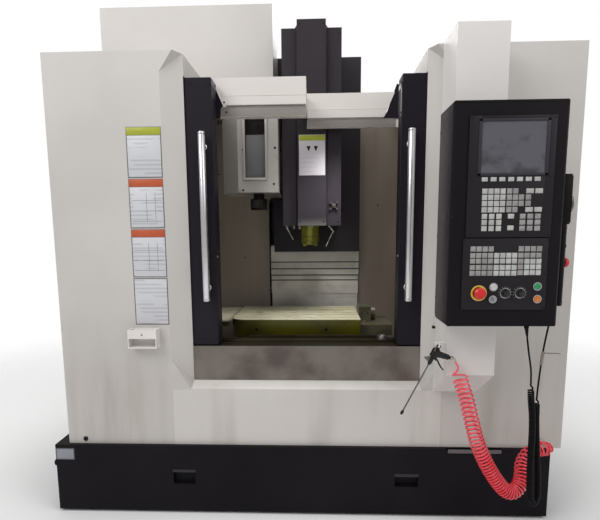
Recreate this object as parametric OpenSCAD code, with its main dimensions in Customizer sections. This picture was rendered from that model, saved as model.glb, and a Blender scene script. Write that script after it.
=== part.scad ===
// Vertical machining center: sheet-metal enclosure with two sliding doors, bed and column, table on a
// saddle, spindle head, disc tool magazine, swing-out operator panel and coolant tank.
// Working frame: X to the right, Y to the back (front panels at Y = 0), Z up from the floor, in mm.

/* [Enclosure] */
// Width of the enclosure
enc_w = 2280; // [1900:10:2600]
// Height of the enclosure
enc_h = 2080; // [1900:10:2300]
// Depth of the side panels
enc_d = 1700; // [1500:10:2000]
// Height of the tank and of the panels' lower edge
base_h = 335; // [250:5:400]
// Sheet thickness
sheet = 4; // [3:0.5:6]

/* [Door opening] */
// X of the opening's middle
open_cx = -20; // [-80:5:80]
// Clear width of the opening
open_w = 1047; // [900:1:1150]
// Lower edge of the apron
apron_z = 633; // [580:1:700]
// Top of the sill
sill_z = 795; // [740:1:850]
// Width of the bevel beside the opening
bevel_w = 90; // [40:1:120]
// Depth of the bevel
bevel_d = 52; // [30:1:56]
// Height of the bevel's corner cuts
bevel_cut = 136; // [60:2:200]

/* [Doors] */
// Room between an open door and the side panel
door_side = 112; // [90:1:150]
// Half of the gap between the doors when open
door_half = 415; // [380:1:440]
// X where the doors meet
door_cx = -13; // [-60:1:60]
// Depth of the leading stile
stile_d = 105; // [60:1:112]
// Height of the door's top above the floor
door_top = 1985; // [1900:1:2040]
// Diameter of the door handle's bar
handle_dia = 32; // [20:1:40]
// Length of the door handle's bar
handle_len = 744; // [400:1:900]
// Height of the handle's middle
handle_z = 1380; // [1200:1:1500]

/* [Top rails] */
// Y of the left rail's face
rail_y = 180; // [176:1:200]
// Distance that the right rail stands behind the left
rail_step = 280; // [100:5:320]
// Height of the rail's top
rail_top = 2018; // [1990:1:2060]
// Height of the rail's box
rail_h = 121; // [80:1:140]
// Height of the rail's folded lip
lip_h = 38; // [20:1:50]

// Depth of the left rail's box
rail_d = 60; // [40:1:80]
// Depth of the right rail's box
rail_d2 = 36; // [24:1:38]

/* [Bed and column] */
// Width of the bed's base
bed_w = 1300; // [1100:10:1500]
// Y of the bed's front
bed_y = 590; // [560:5:620]
// Length of the bed
bed_l = 1490; // [1400:10:1500]
// Height of the bed's underside
bed_z = 60; // [40:5:80]
// Height of the chip pan
pan_z = 500; // [460:5:520]
// Top of the Y guideways
way_z = 540; // [530:1:560]
// Width of the column
col_w = 540; // [440:5:600]
// Y of the column's front face
col_y = 1190; // [1180:1:1220]
// Height of the column's top
col_top = 2300; // [2250:10:2400]
// X of the column and the way covers
spindle_x = 12; // [-20:1:40]

/* [Table] */
// Length of the table
table_l = 700; // [600:5:720]
// Depth of the table
table_d = 480; // [400:5:500]
// Thickness of the table
table_t = 100; // [80:1:110]
// Height of the table's top
table_z = 850; // [845:1:860]
// Table's middle in X, at rest
table_x = -85; // [-120:5:-40]
// Table's front edge in Y, at rest
table_y = 440; // [420:5:460]
// Width of a T-slot
tslot_w = 18; // [12:1:22]
// Distance between T-slots
tslot_pitch = 85; // [63:1:100]

/* [Spindle head] */
// Y of the spindle's axis
spindle_y = 700; // [660:5:740]
// Height of the spindle's face
nose_z = 1245; // [1240:1:1300]
// Radius of the spindle's housing
nose_r = 52; // [48:1:60]
// Distance of the spindle's axis to the left of the column's middle
nose_dx = 22; // [0:1:25]
// Radius of the spindle's mouth
taper_r = 22.2; // [15:0.1:35]
// Width of the cover's tall middle
cover_mid_w = 149; // [140:1:180]
// Width over the cover's side steps
cover_w = 314; // [290:1:320]
// Y of the cover's front
cover_y = 500; // [480:1:520]
// Depth of the side steps behind the front
cover_step = 40; // [20:1:60]
// Lower edge of the head's cover
cover_z0 = 1352; // [1345:1:1375]
// Top of the cover's middle
cover_z1 = 2391; // [2300:1:2450]
// Top of the cover's side steps
cover_z2 = 2363; // [2280:1:2440]
// Lower edge of the wide rear cover
back_z0 = 1195; // [1190:1:1230]
// Top of the wide rear cover
back_z1 = 2352; // [2250:1:2400]

/* [Way cover] */
// Height of one stage of the way cover
stage_h = 200; // [190:1:210]
// Step from one stage to the next
stage_step = 120; // [112:1:130]

/* [Tool changer] */
// Radius over the magazine's pots
mag_r = 265; // [220:5:265]
// Number of pots in the magazine
mag_pots = 20; // [12:1:24]
// Half length of the changer arm
arm_half = 150; // [120:1:155]
// X of the changer arm's axis
arm_x = -290; // [-300:1:-285]

/* [Pillar and panel] */
// Width of the pillar
pillar_w = 193; // [150:1:240]
// Left side of the pillar
pillar_x = 556; // [540:1:600]
// How far the pillar stands out
pillar_d = 207; // [150:1:240]
// Width of the operator panel
panel_w = 390; // [340:1:440]
// Height of the operator panel
panel_h = 777; // [700:1:820]
// Depth of the operator panel
panel_d = 187; // [120:1:200]
// Left side of the operator panel
panel_x = 500; // [480:1:520]
// Lower edge of the operator panel
panel_z = 977; // [940:1:1020]
// Size of a key cap
key_size = 16; // [10:0.5:18]
// Radius of a push button's cap
button_r = 11; // [9:0.5:12]
// Radius of the stop button's cap
estop_r = 21; // [18:0.5:24]

/* [Tank] */
// How far the tank stands out on the left
tank_over = 60; // [40:1:100]
// How far the tank stops short on the right
tank_short = 54; // [0:1:100]
// How far the tank stands out in front
tank_out = 20; // [0:1:60]
// Depth of the tank
tank_d = 580; // [400:5:600]

/* [Rear cabinet] */
// Left side of the cabinet
cab_x = -850; // [-900:5:-800]
// Width of the cabinet
cab_w = 1720; // [1600:10:1800]
// Height of the cabinet's top
cab_h = 1950; // [1700:10:2050]
// Depth of the cabinet
cab_d = 395; // [300:5:420]

/* [Hidden] */
$fn = 48;
e = 0.01;
clr = 0.3;                                  // clearance of running and resting pieces
xl = -enc_w / 2;
xr = enc_w / 2;
ol = open_cx - open_w / 2;                  // opening's left and right edges
orr = open_cx + open_w / 2;
dl = door_cx - door_half;                   // doors' leading edges
dr = door_cx + door_half;
door_w = enc_w / 2 + door_cx - door_half - door_side;   // width of one door
win_in = door_w * 0.283;                    // window's inner and outer edge from the leading edge
win_out = door_w * 0.833;
door_y = 60;
door_z0 = sill_z + 5;
wall_l = xl + 235;                          // inner walls
wall_r = xr - 240;
wall_y = 1136;
tray_y = 240;
col_d = enc_d - col_y - 10;                 // depth of the column
nose_x = spindle_x - nose_dx;               // spindle's axis
cover_x = spindle_x - 8;                    // middle of the head's cover
col_x0 = spindle_x - col_w / 2;
col_x1 = spindle_x + col_w / 2;
panel_y = -400;                             // panel's front face
unit_t = 6;                                 // thickness of the key units
face_y = panel_y - unit_t;
gun_x = 502;                                // middle of the air gun's valve
gun_z = 845;
gun_lean = 26.8;
stage_y = 1088;                             // front of the first way cover stage
stage_t = 7;                                // step from one stage to the next behind it
stage_half = 290;                           // half the width of the first stage
hose_inset = 84;                            // bulkhead fitting of the air hose, from the right side
hose_x = xr - hose_inset;
hose_z = 364;
slide_z0 = back_z0 + 37;                    // the head's slide
slide_z1 = slide_z0 + 818;
hinge_x = pillar_x + pillar_w + 12;
hinge_y = -pillar_d + 3;
tank_x0 = xl - tank_over;
tank_l = enc_w + tank_over - tank_short;
cab_y = enc_d + 5;
cab_hx = cab_x + 11;                         // hinge of the cabinet door
cab_dw = 810;                               // width of the cabinet door
cab_mid = cab_x + cab_dw + 40;              // partition of the cabinet
cab_hy = cab_y + cab_d + 9;
mag_x = -590;                               // magazine: axis, cover
mag_z = 2236;
arm_y = 590;                                // changer arm axis
mag_x1 = -205;
mag_y0 = 620;
mag_y1 = 930;
off_x = -(tank_x0 - 34 + xr) / 2;
off_y = -(face_y - 28 + cab_y + cab_d + 24) / 2;
steel = [0.80, 0.79, 0.77];
navy = [0.13, 0.12, 0.18];
inox = [0.72, 0.73, 0.74];
black = [0.09, 0.09, 0.10];
cast = [0.55, 0.56, 0.56];

module place() translate([off_x, off_y, 0]) children();
module bx(x0, x1, y0, y1, z0, z1) translate([x0, y0, z0]) cube([x1 - x0, y1 - y0, z1 - z0]);
module cz(x, y, z, r, h) translate([x, y, z]) cylinder(r = r, h = h);
module cx(x, y, z, r, h) translate([x, y, z]) rotate([0, 90, 0]) cylinder(r = r, h = h);
module cy(x, y, z, r, h) translate([x, y, z]) rotate([-90, 0, 0]) cylinder(r = r, h = h);
module cf(x, y, z, r, h) translate([x, y, z]) rotate([90, 0, 0]) cylinder(r = r, h = h);
// a plate in the XZ plane from a list of [x, z] points, from y0 to y1
module xz(pts, y0, y1) translate([0, y1, 0]) rotate([90, 0, 0]) linear_extrude(height = y1 - y0)
    polygon(pts);
// a prism along X from a list of [y, z] points
module yz(pts, x0, x1) translate([x0, 0, 0]) rotate([90, 0, 90]) linear_extrude(height = x1 - x0)
    polygon(pts);
module xy(pts, z0, z1) translate([0, 0, z0]) linear_extrude(height = z1 - z0) polygon(pts);
function crect(x0, x1, y0, y1, c) = [[x0 + c, y0], [x1 - c, y0], [x1, y0 + c], [x1, y1 - c], [x1 - c, y1],
    [x0 + c, y1], [x0, y1 - c], [x0, y0 + c]];

// the space of the opening: a frustum from the bevel's outline to the clear opening
function bevel_line() = [[ol - bevel_w, apron_z - 28 + bevel_cut], [ol - 6, apron_z - 28],
    [orr + 6, apron_z - 28], [orr + bevel_w, apron_z - 28 + bevel_cut], [orr + bevel_w, enc_h - 85],
    [orr + 31, enc_h + 2], [ol - 31, enc_h + 2], [ol - bevel_w, enc_h - 85]];
module funnel() hull() {
    xz(bevel_line(), -0.02, 0);
    xz([[ol, apron_z], [orr, apron_z], [orr, enc_h + 2], [ol, enc_h + 2]], bevel_d, bevel_d + 1);
}

module bed_casting() color(cast) place() {
    // base with four pockets open below
    difference() {
        bx(-bed_w / 2, bed_w / 2, bed_y, bed_y + bed_l, bed_z, base_h + 25);
        for (i = [0, 1]) for (j = [0, 1])
            bx(-bed_w / 2 + 40 + i * (bed_w / 2 - 20), -20 + i * (bed_w / 2 - 20),
                bed_y + 40 + j * (bed_l / 2 - 20),
                bed_y + bed_l / 2 - 20 + j * (bed_l / 2 - 20), bed_z - 10, base_h - 15);
    }
    // front beam under the pan
    difference() {
        bx(-420, 420, 60, bed_y + 2, base_h + 25, pan_z - 29);
        bx(-380, 380, 100, bed_y - 10, base_h, pan_z - 60);
    }
    bx(-420, 420, bed_y, 1145, base_h + 24, pan_z - 29);
    // chip pan with a raised rim
    bx(wall_l + 1, wall_r - 1, sheet, 1134, pan_z - 30, pan_z);
    // two guideways
    for (s = [-1, 1]) bx(s * 240 - 45, s * 240 + 45, tray_y + clr, 1146, pan_z - e, way_z);
    // pedestal of the column
    difference() {
        bx(-450, 450, 1145, enc_d - sheet - clr, base_h + 20, 560);
        bx(-400, 400, 1200, enc_d - 50, base_h - 20, 520);
    }
}

module column_casting() color(cast) place() {
    difference() {
        union() {
            bx(col_x0, col_x1, col_y, col_y + col_d, 560, col_top);
            yz([[col_y + 20, 560], [col_y + col_d + 12, 560], [col_y + col_d + 12, 640],
                [col_y + col_d - 1, 900], [col_y + 20, 900]], col_x0 - 60, col_x0 + 5);
            yz([[col_y + 20, 560], [col_y + col_d + 12, 560], [col_y + col_d + 12, 640],
                [col_y + col_d - 1, 900], [col_y + 20, 900]], col_x1 - 5, col_x1 + 60);
        }
        bx(col_x0 + 35, col_x1 - 35, col_y + 35, col_y + col_d - 35, 600, col_top - 40);
        bx(col_x0 + 110, col_x1 - 110, col_y - 1, col_y + 40, 700, col_top - 140);
        bx(col_x0 + 120, col_x1 - 120, col_y + col_d - 40, col_y + col_d + 1, 900, col_top - 300);
    }
    // guide rails on the front face
    for (s = [-1, 1]) bx(spindle_x + s * 190 - 22, spindle_x + s * 190 + 22, col_y - 28, col_y + e, 700,
        col_top - 20);
}

module front_left_sheet() {
    difference() {
        union() {
            xz([[xl, base_h], [ol - bevel_w - 26, base_h], [ol - bevel_w - 26, enc_h], [xl, enc_h]], 0,
                sheet);
            bx(ol - bevel_w - 28, ol, 0, bevel_d, apron_z - 33, enc_h);
            bx(ol - bevel_w - 28, ol - bevel_w, 0, sheet, base_h, apron_z);
        }
        funnel();
        bx(ol - bevel_w - 24, ol - bevel_w - 6, sheet, bevel_d + 1, apron_z - 40, enc_h + 1);
    }
    // cheek above the door, and the pocket's top
    bx(ol - sheet, ol, bevel_d - e, 400, door_top + 5, enc_h);
    bx(ol - sheet, ol, door_y + stile_d + 6, 400, 1838, enc_h);
    bx(xl, ol - bevel_w - 20, sheet - e, 400, enc_h - sheet, enc_h);
    bx(ol - bevel_w - 22, ol - 1, bevel_d - 1, 400, enc_h - sheet, enc_h);
}
module front_panel_left() color(steel) place() front_left_sheet();
module front_panel_right() color(steel) place() {
    difference() {
        union() {
            xz([[xr, base_h], [orr + bevel_w + 26, base_h], [orr + bevel_w + 26, enc_h], [xr, enc_h]],
                0, sheet);
            bx(orr, orr + bevel_w + 28, 0, bevel_d, apron_z - 33, enc_h);
            bx(orr + bevel_w, orr + bevel_w + 28, 0, sheet, base_h, apron_z);
        }
        funnel();
        bx(orr + bevel_w + 6, orr + bevel_w + 24, sheet, bevel_d + 1, apron_z - 40, enc_h + 1);
    }
    // bulkhead fitting of the air hose
    difference() {
        union() {
            cf(hose_x, e, hose_z, 15, 6);
            translate([hose_x, -5, hose_z]) rotate([90, 0, 0]) cylinder(r = 13, h = 9, $fn = 6);
            cf(hose_x, -13, hose_z, 9, 8);
        }
        cf(hose_x, 1, hose_z, 7 + clr, 30);
    }
    bx(orr, orr + sheet, bevel_d - e, 400, door_top + 5, enc_h);
    bx(orr, orr + sheet, door_y + stile_d + 6, 400, 1838, enc_h);
    bx(orr, orr + sheet, 400 - e, 400 + rail_step / 2, 1838, enc_h - sheet);
    bx(orr + bevel_w + 20, xr, sheet - e, 400, enc_h - sheet, enc_h);
    bx(orr + 1, orr + bevel_w + 22, bevel_d - 1, 400, enc_h - sheet, enc_h);
}
module front_panel_lower() color(steel) place() {
    bx(ol - bevel_w, orr + bevel_w, 0, sheet, base_h, apron_z - 33 + e);
    difference() {
        bx(ol, orr, 0, bevel_d, apron_z - 33, apron_z);
        funnel();
    }
    difference() {
        bx(ol, orr, 0, sheet, apron_z - 33, apron_z - 25);
        funnel();
        bx(ol - 60, orr + 60, -1, sheet + 1, apron_z - 28, apron_z);
    }
}

module apron() color(inox) place() {
    bx(ol, orr, bevel_d - 2, bevel_d + 2, apron_z, sill_z);
    bx(ol, orr, bevel_d - 2, tray_y, sill_z - sheet, sill_z);
    bx(ol, orr, tray_y - sheet, tray_y, pan_z, sill_z - 1);
    bx(-305, 325, tray_y - 14, tray_y, sill_z - 1, sill_z + 14);
    cz(352, 205, sill_z - 1, 21, 17);
    cz(352, 205, sill_z + 15, 15, 6);
}

module louvres(n, y0, y1, z0, step) for (i = [0:n - 1]) bx(xl - 50, xr + 50, y0, y1, z0 + i * step,
    z0 + i * step + 10);

module side_sheet(x0, x1) difference() {
    bx(x0, x1, sheet, enc_d, base_h, enc_h - sheet);
    louvres(12, 1250, 1560, 1500, 26);
    louvres(6, 1250, 1560, 520, 26);
}
module side_panel_left() color(steel) place() {
    side_sheet(xl, xl + sheet);
    // roof strip, open under the magazine
    difference() {
        bx(xl, ol, 400, enc_d, enc_h - sheet, enc_h);
        bx(wall_l + 1, ol + 1, mag_y0 + 20, mag_y1, enc_h - 10, enc_h + 1);
    }
    bx(ol - 1, col_x0 - 4, 1140, enc_d, enc_h - sheet, enc_h);
    // rear sheet
    bx(xl, col_x0 - 72, enc_d - sheet, enc_d, base_h + 27, enc_h - 1);
    bx(col_x0 - 74, col_x0 - 70, 1140, enc_d, 900, enc_h - 1);
}
module side_panel_right() color(steel) place() {
    side_sheet(xr - sheet, xr);
    bx(orr, xr, 400, enc_d, enc_h - sheet, enc_h);
    bx(col_x1 + 4, orr + 1, 1140, enc_d, enc_h - sheet, enc_h);
    bx(col_x1 + 72, xr, enc_d - sheet, enc_d, base_h + 27, enc_h - 1);
    bx(col_x1 + 70, col_x1 + 74, 1140, enc_d, 900, enc_h - 1);
}

module rear_cabinet() color(steel) place() {
    difference() {
        bx(cab_x, cab_x + cab_w, cab_y, cab_y + cab_d, base_h + 25, cab_h);
        bx(cab_x + 30, cab_mid, cab_y + 30, cab_y + cab_d + 1, base_h + 85, cab_h - 70);
        bx(cab_mid + 30, cab_x + cab_w - 30, cab_y + 30, cab_y + cab_d - 4, base_h + 85, cab_h - 70);
        for (i = [0:9]) bx(cab_x + cab_w - 570, cab_x + cab_w - 250, cab_y + cab_d - 10, cab_y + cab_d + 1,
            cab_h - 450 + i * 26, cab_h - 440 + i * 26);
    }
    // mounting plate with rows of devices
    bx(cab_x + 60, cab_mid - 30, cab_y + 29, cab_y + 36, base_h + 115, cab_h - 100);
    for (i = [0:2]) for (j = [0:4])
        bx(cab_x + 110 + j * 140, cab_x + 210 + j * 140, cab_y + 35, cab_y + 150, 700 + i * 380,
            900 + i * 380);
    // hinge lugs and pins of the door
    for (z = [600, 1150, 1700]) {
        for (k = [0, 60]) cz(cab_hx, cab_hy, z + k, 8, 20);
        for (k = [0, 60]) bx(cab_hx - 8, cab_hx + 8, cab_y + cab_d - 1, cab_hy, z + k, z + k + 20);
        cz(cab_hx, cab_hy, z + 5, 4, 70);
    }
    // roof unit
    bx(cab_mid + 200, cab_mid + 700, cab_y + 60, cab_y + cab_d - 55, cab_h - e, cab_h + 90);
}

module inner_walls() color([0.42, 0.40, 0.38]) place() {
    bx(wall_l - sheet, wall_l, tray_y, wall_y + sheet, pan_z - 30, enc_h - sheet);
    bx(wall_r, wall_r + sheet, tray_y, wall_y + sheet, pan_z - 30, enc_h - sheet);
    bx(wall_l - e, col_x0 - 34, wall_y, wall_y + sheet, pan_z, enc_h - 61);
    bx(col_x1 + 24, wall_r + e, wall_y, wall_y + sheet, pan_z, enc_h - 61);
    // front returns behind the door pockets
    bx(wall_l - e, ol - 30, tray_y, tray_y + sheet, pan_z, 1838);
    bx(orr + 30, wall_r + e, tray_y, tray_y + sheet, pan_z, 1838);
    bx(ol - 34, ol - 30, tray_y - 50, tray_y + e, 800, 1838);
    bx(orr + 30, orr + 34, tray_y - 50, tray_y + e, 800, 1838);
    bx(ol - 31, ol + e, tray_y - e, tray_y + sheet, pan_z, 792);
    bx(orr - e, orr + 31, tray_y - e, tray_y + sheet, pan_z, 792);
    // sloped chip guards beside the bed
    yz([[tray_y, pan_z], [tray_y, pan_z + 90], [wall_y, pan_z + 30], [wall_y, pan_z]], wall_l, wall_l + 60);
    yz([[tray_y, pan_z], [tray_y, pan_z + 90], [wall_y, pan_z + 30], [wall_y, pan_z]], wall_r - 60, wall_r);
}

module top_rail_left() color(steel) place() {
    z0 = rail_top - rail_h;
    difference() {
        xz([[dl - 27, rail_top], [-16, rail_top], [-16, z0], [dl + 43, z0]], rail_y, rail_y + rail_d);
        bx(dl - 30, -15, rail_y - 1, rail_y + 4, z0 + lip_h, z0 + lip_h + 3);
    }
    // folded lip along the lower edge
    xz([[dl + 43 - lip_h * 0.578, z0 + lip_h], [-16, z0 + lip_h], [-16, z0], [dl + 43, z0]],
        rail_y - 5, rail_y + 1);
    bx(dl + 12, -16, rail_y + 8, rail_y + rail_d, z0 - 49, z0 - 5);
    bx(dl + 50, -30, rail_y + 20, rail_y + rail_d - 10, z0 - 6, z0 + 1);
    // arm to the cheek
    bx(ol, dl + 44, rail_y + 12, rail_y + rail_d - 2, z0 - 49, z0 - 5);
    // tie to the rear rail
    bx(-60, -17, rail_y + rail_d - 1, rail_y + rail_step, z0 + 20, rail_top - 20);
}
module top_rail_right() color(steel) place() {
    z0 = rail_top - rail_h;
    y0 = rail_y + rail_step;
    difference() {
        xz([[-19, rail_top], [dr + 26, rail_top], [dr - 27, z0], [-19, z0]], y0, y0 + rail_d2);
        bx(-20, dr + 30, y0 - 1, y0 + 4, z0 + lip_h, z0 + lip_h + 3);
    }
    xz([[-16.7, z0 + lip_h], [dr - 27 + lip_h * 0.438, z0 + lip_h], [dr - 27, z0], [-16.7, z0]], y0 - 5,
        y0 + 1);
    bx(-19, dr + 34, y0 + 8, y0 + rail_d2, z0 - 47, z0 - 5);
    bx(-10, dr - 40, y0 + 14, y0 + rail_d2 - 6, z0 - 6, z0 + 1);
    bx(dr - 28, orr, y0 + 10, y0 + rail_d2 - 2, z0 - 47, z0 - 5);
    bx(-60, -18, y0, y0 + rail_d2, z0 + 20, rail_top - 20);
}

module magazine_cover() color(steel) place() {
    zt = 2520;
    difference() {
        bx(xl + 2, mag_x1, mag_y0, mag_y1, enc_h, zt);
        bx(xl + 5, mag_x1 - 3, mag_y0 + 3, mag_y1 - 3, enc_h - 1, zt - 3);
    }
    // skirt that reaches down inside the roof's opening
    bx(ol + 6, mag_x1, mag_y0, mag_y0 + 3, 1968, enc_h + 1);
    bx(mag_x1 - 3, mag_x1, mag_y0, mag_y1, 1968, enc_h + 1);
    bx(ol + 6, mag_x1, mag_y1 - 3, mag_y1, 1968, enc_h + 1);
    // feet on the roof strip, the hub's shaft and its plate
    bx(wall_l, ol, mag_y1 - 20, mag_y1, enc_h, enc_h + 20);
    cf(mag_x, mag_y1, mag_z, 35, 130);
    bx(mag_x - 110, mag_x + 110, mag_y1 - 20, mag_y1, mag_z - 100, mag_z + 100);
    // beam to the column
    bx(-460, -262, mag_y1 - e, mag_y1 + 12, 2120, 2260);
    bx(-330, col_x0 - 4, mag_y1, col_y + 110, 2120, 2260);
    bx(-270, col_x0, col_y, col_y + 110, 2120, 2260);
}

module port_box() color(steel) place() {
    x0 = -385; x1 = -172; xr2 = -262; y0 = 480; ym = 900; z0 = 1528; z1 = 1965;
    difference() {
        union() {
            xy([[x0, y0], [x1, y0], [x1, ym], [xr2, ym], [xr2, wall_y], [x0, wall_y]], z0, z1);
            xy([[x0 + 1, y0], [x0 + 1, y0 + 300], [-480, y0 + 300], [-480, y0 + 90]], z0, z1);
        }
        xy([[x0, y0 + 3], [x1 - 3, y0 + 3], [x1 - 3, ym - 3], [xr2 - 3, ym - 3], [xr2 - 3, wall_y - 3],
            [x0, wall_y - 3]], z0 + 3, z1 - 3);
        xy([[x0 + 3, y0 + 4], [x0 + 3, y0 + 297], [-477, y0 + 297], [-477, y0 + 92]], z0 + 3, z1 - 3);
        bx(-345, -240, y0 - 1, y0 + 5, 1604, 1915);
        cz(arm_x, arm_y, z0 - 1, 30 + clr, 5);
        // way out of the tool pot, on the right side
        bx(x1 - 10, x1 + 1, y0 + 130, ym - 60, z0 + 20, z1 - 60);
    }
    // bearing of the changer arm
    difference() {
        cz(arm_x, arm_y, z0 + 2, 48, 62);
        cz(arm_x, arm_y, z0 - 1, 30 + clr, 70);
    }
    // window's frame
    difference() {
        bx(-357, -228, y0 - 6, y0 + e, 1590, 1929);
        bx(-345, -240, y0 - 7, y0 + 1, 1604, 1915);
    }
    for (x = [-374, -184]) for (z = [1545, 1720]) cf(x, y0 + e, z, 5, 3);
}
module port_window() color([0.5, 0.55, 0.6, 0.4]) place() bx(-352, -233, 483, 489, 1597, 1922);

module pillar() color(steel) place() {
    yz([[0, 599], [-pillar_d, 737], [-pillar_d, enc_h], [0, enc_h]], pillar_x, pillar_x + pillar_w);
    for (z = [1090, 1560]) {
        for (k = [0, 55]) cz(hinge_x, hinge_y, z + k, 9, 25);
        for (k = [0, 55]) bx(pillar_x + pillar_w - e, hinge_x, hinge_y - 4, hinge_y + 9, z + k, z + k + 25);
        cz(hinge_x, hinge_y, z + 5, 4, 70);
    }
    // bent rod that the air gun hangs on
    cx(gun_x + 8, -pillar_d + 17, gun_z + 22.9, 3, pillar_x - gun_x - 8 + e);
    cf(gun_x + 11, -pillar_d + 20, gun_z + 22.9, 3, 76);
    cz(gun_x + 11, -pillar_d - 54, gun_z + 22.9, 3, 14);
}

module shelf_box() color(steel) place() {
    difference() {
        bx(-812, -682, -52, 0, 806, 890);
        bx(-808, -686, -53, -4, 812, 850);
        bx(-806, -688, -48, -4, 870, 891);
    }
}

module level_feet() color([0.3, 0.3, 0.32]) place()
    for (x = [80 - bed_w / 2, bed_w / 2 - 80]) for (y = [bed_y + 21, bed_y + bed_l / 2 + 5,
        bed_y + bed_l - 20]) {
        cz(x, y, 0, 48, 18);
        cz(x, y, 17, 16, bed_z - 17);
        translate([x, y, bed_z - 30]) cylinder(r = 28, h = 14, $fn = 6);
    }

module z_motor() color(black) place() {
    bx(spindle_x - 95, spindle_x + 95, col_y + 40, col_y + 230, col_top, col_top + 18);
    bx(spindle_x - 65, spindle_x + 65, col_y + 70, col_y + 200, col_top + 17, col_top + 52);
    difference() {
        xy(crect(spindle_x - 65, spindle_x + 65, col_y + 70, col_y + 200, 18), col_top + 50, col_top + 215);
        for (s = [-1, 1]) for (k = [-1, 0, 1]) bx(spindle_x + s * 60 - 6, spindle_x + s * 60 + 6,
            col_y + 130 + k * 26, col_y + 140 + k * 26, col_top + 70, col_top + 200);
    }
    cz(spindle_x, col_y + 135, col_top + 214, 48, 50);
    bx(spindle_x - 18, spindle_x + 18, col_y + 190, col_y + 225, col_top + 130, col_top + 190);
}

module coolant_tank() color(navy) place() {
    x0 = tank_x0; x1 = tank_x0 + tank_l; y0 = -tank_out; y1 = y0 + tank_d; t = 5;
    difference() {
        bx(x0, x1, y0, y1, 12, base_h - clr);
        bx(x0 + t, x1 - t, y0 + 32, y1 - t, 12 + t, base_h - 8);
        bx(x0 + 60, x1 - 60, y0 + 90, y1 - 60, base_h - 20, base_h);
        bx(x0 + t, -660, y0 + t, y0 + 33, 12 + t, base_h - 8);
        bx(-522, 372, y0 + t, y0 + 33, 12 + t, base_h - 8);
        bx(514, x1 - t, y0 + t, y0 + 33, 12 + t, base_h - 8);
        // recessed pulls
        bx(-642, -540, y0 - 1, y0 + 26, 148, 211);
        bx(390, 496, y0 - 1, y0 + 26, 148, 202);
        // notch strip along the top edge
        bx(619, 870, y0 - 1, y0 + 14, base_h - 9, base_h);
    }
    for (x = [x0 + 120, -60, x1 - 120]) for (y = [y0 + 70, y1 - 70]) cz(x, y, 0, 32, 13);
    // drain knob on the left end
    cx(x0 - 34, y0 + 60, 220, 17, 20);
    cx(x0 - 15, y0 + 60, 220, 9, 16);
    // baffle
    bx(-250, -245, y0 + 30, y1 - 4, 16, 240);
}
module coolant_pump() color([0.16, 0.30, 0.24]) place() {
    x = tank_x0 + 175; y = 470;
    bx(x - 75, x + 75, y - 75, y + 75, base_h - clr, base_h + 9);
    cz(x, y, base_h + 8, 44, 30);
    difference() {
        cz(x, y, base_h + 37, 58, 190);
        for (a = [0:30:330]) translate([x, y, base_h + 60]) rotate([0, 0, a]) translate([55, -4, 0])
            cube([8, 8, 140]);
    }
    cz(x, y, base_h + 226, 50, 26);
    bx(x + 50, x + 95, y - 30, y + 30, base_h + 110, base_h + 170);
}

module door(s, lead) {
    // s = 1: left door, the body lies to the left of its leading edge
    function u(d) = lead - s * d;
    difference() {
        union() {
            bx(min(u(0), u(door_w)), max(u(0), u(door_w)), door_y, door_y + sheet, door_z0, door_top);
            bx(min(u(0), u(60)), max(u(0), u(60)), door_y + sheet - e, door_y + stile_d, door_z0, door_top);
            bx(min(u(door_w - 40), u(door_w)), max(u(door_w - 40), u(door_w)), door_y + 3, door_y + 40,
                door_z0, door_top);
            bx(min(u(50), u(door_w - 30)), max(u(50), u(door_w - 30)), door_y + 3, door_y + 40,
                door_z0, door_z0 + 60);
            bx(min(u(50), u(door_w - 30)), max(u(50), u(door_w - 30)), door_y + 3, door_y + 40,
                door_top - 60, door_top);
        }
        // hollow of the leading stile
        bx(min(u(4), u(56)), max(u(4), u(56)), door_y + sheet, door_y + stile_d - 4, door_z0 - 1,
            door_top - 5);
        // window opening
        bx(min(u(win_in), u(win_out)), max(u(win_in), u(win_out)), door_y - 1, door_y + sheet + 1,
            1150, 1760);
    }
    // slanted guard at the stile's top, and two runner blocks on the sill
    for (d = [70, door_w - 90]) bx(min(u(d), u(d + 50)), max(u(d), u(d + 50)), door_y + 10,
        door_y + 34, sill_z + clr, door_z0 + 4);
    for (z = [1215, 1240]) cx(s > 0 ? lead - e : lead - 3, door_y + 60, z, 5, 3 + e);
}
// a thin bracket on a door's leading face
module bracket(x0, y0, y1, z0, z1) bx(x0, x0 + 2, y0, y1, z0, z1);
module door_left() color(navy) place() {
    door(1, dl);
    bracket(dl - e, door_y + 2, door_y + stile_d - 2, door_top - 82, door_top - 1);
}
module door_right() color(navy) place() {
    door(-1, dr);
    bracket(dr - 2 + e, door_y + 15, door_y + 30, door_top - 170, door_top - 30);
    bracket(dr - 2 + e, door_y + 29, door_y + 92, door_top - 50, door_top - 30);
}
module door_window(s, lead) {
    a = lead - s * (win_in - 15); b = lead - s * (win_out + 15);
    bx(min(a, b), max(a, b), door_y + sheet, door_y + sheet + 8, 1135, 1775);
}
module door_left_window() color([0.55, 0.62, 0.66, 0.4]) place() door_window(1, dl);
module door_right_window() color([0.55, 0.62, 0.66, 0.4]) place() door_window(-1, dr);
module handle(x) {
    z0 = handle_z - handle_len / 2;
    cz(x, 24, z0, handle_dia / 2, handle_len);
    for (z = [z0 + 60, z0 + handle_len - 60]) cy(x, 24, z, 9, door_y - 24);
}
module door_left_handle() color(inox) place() handle(dl - 39);
module door_right_handle() color(inox) place() handle(dr + 37);

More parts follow.
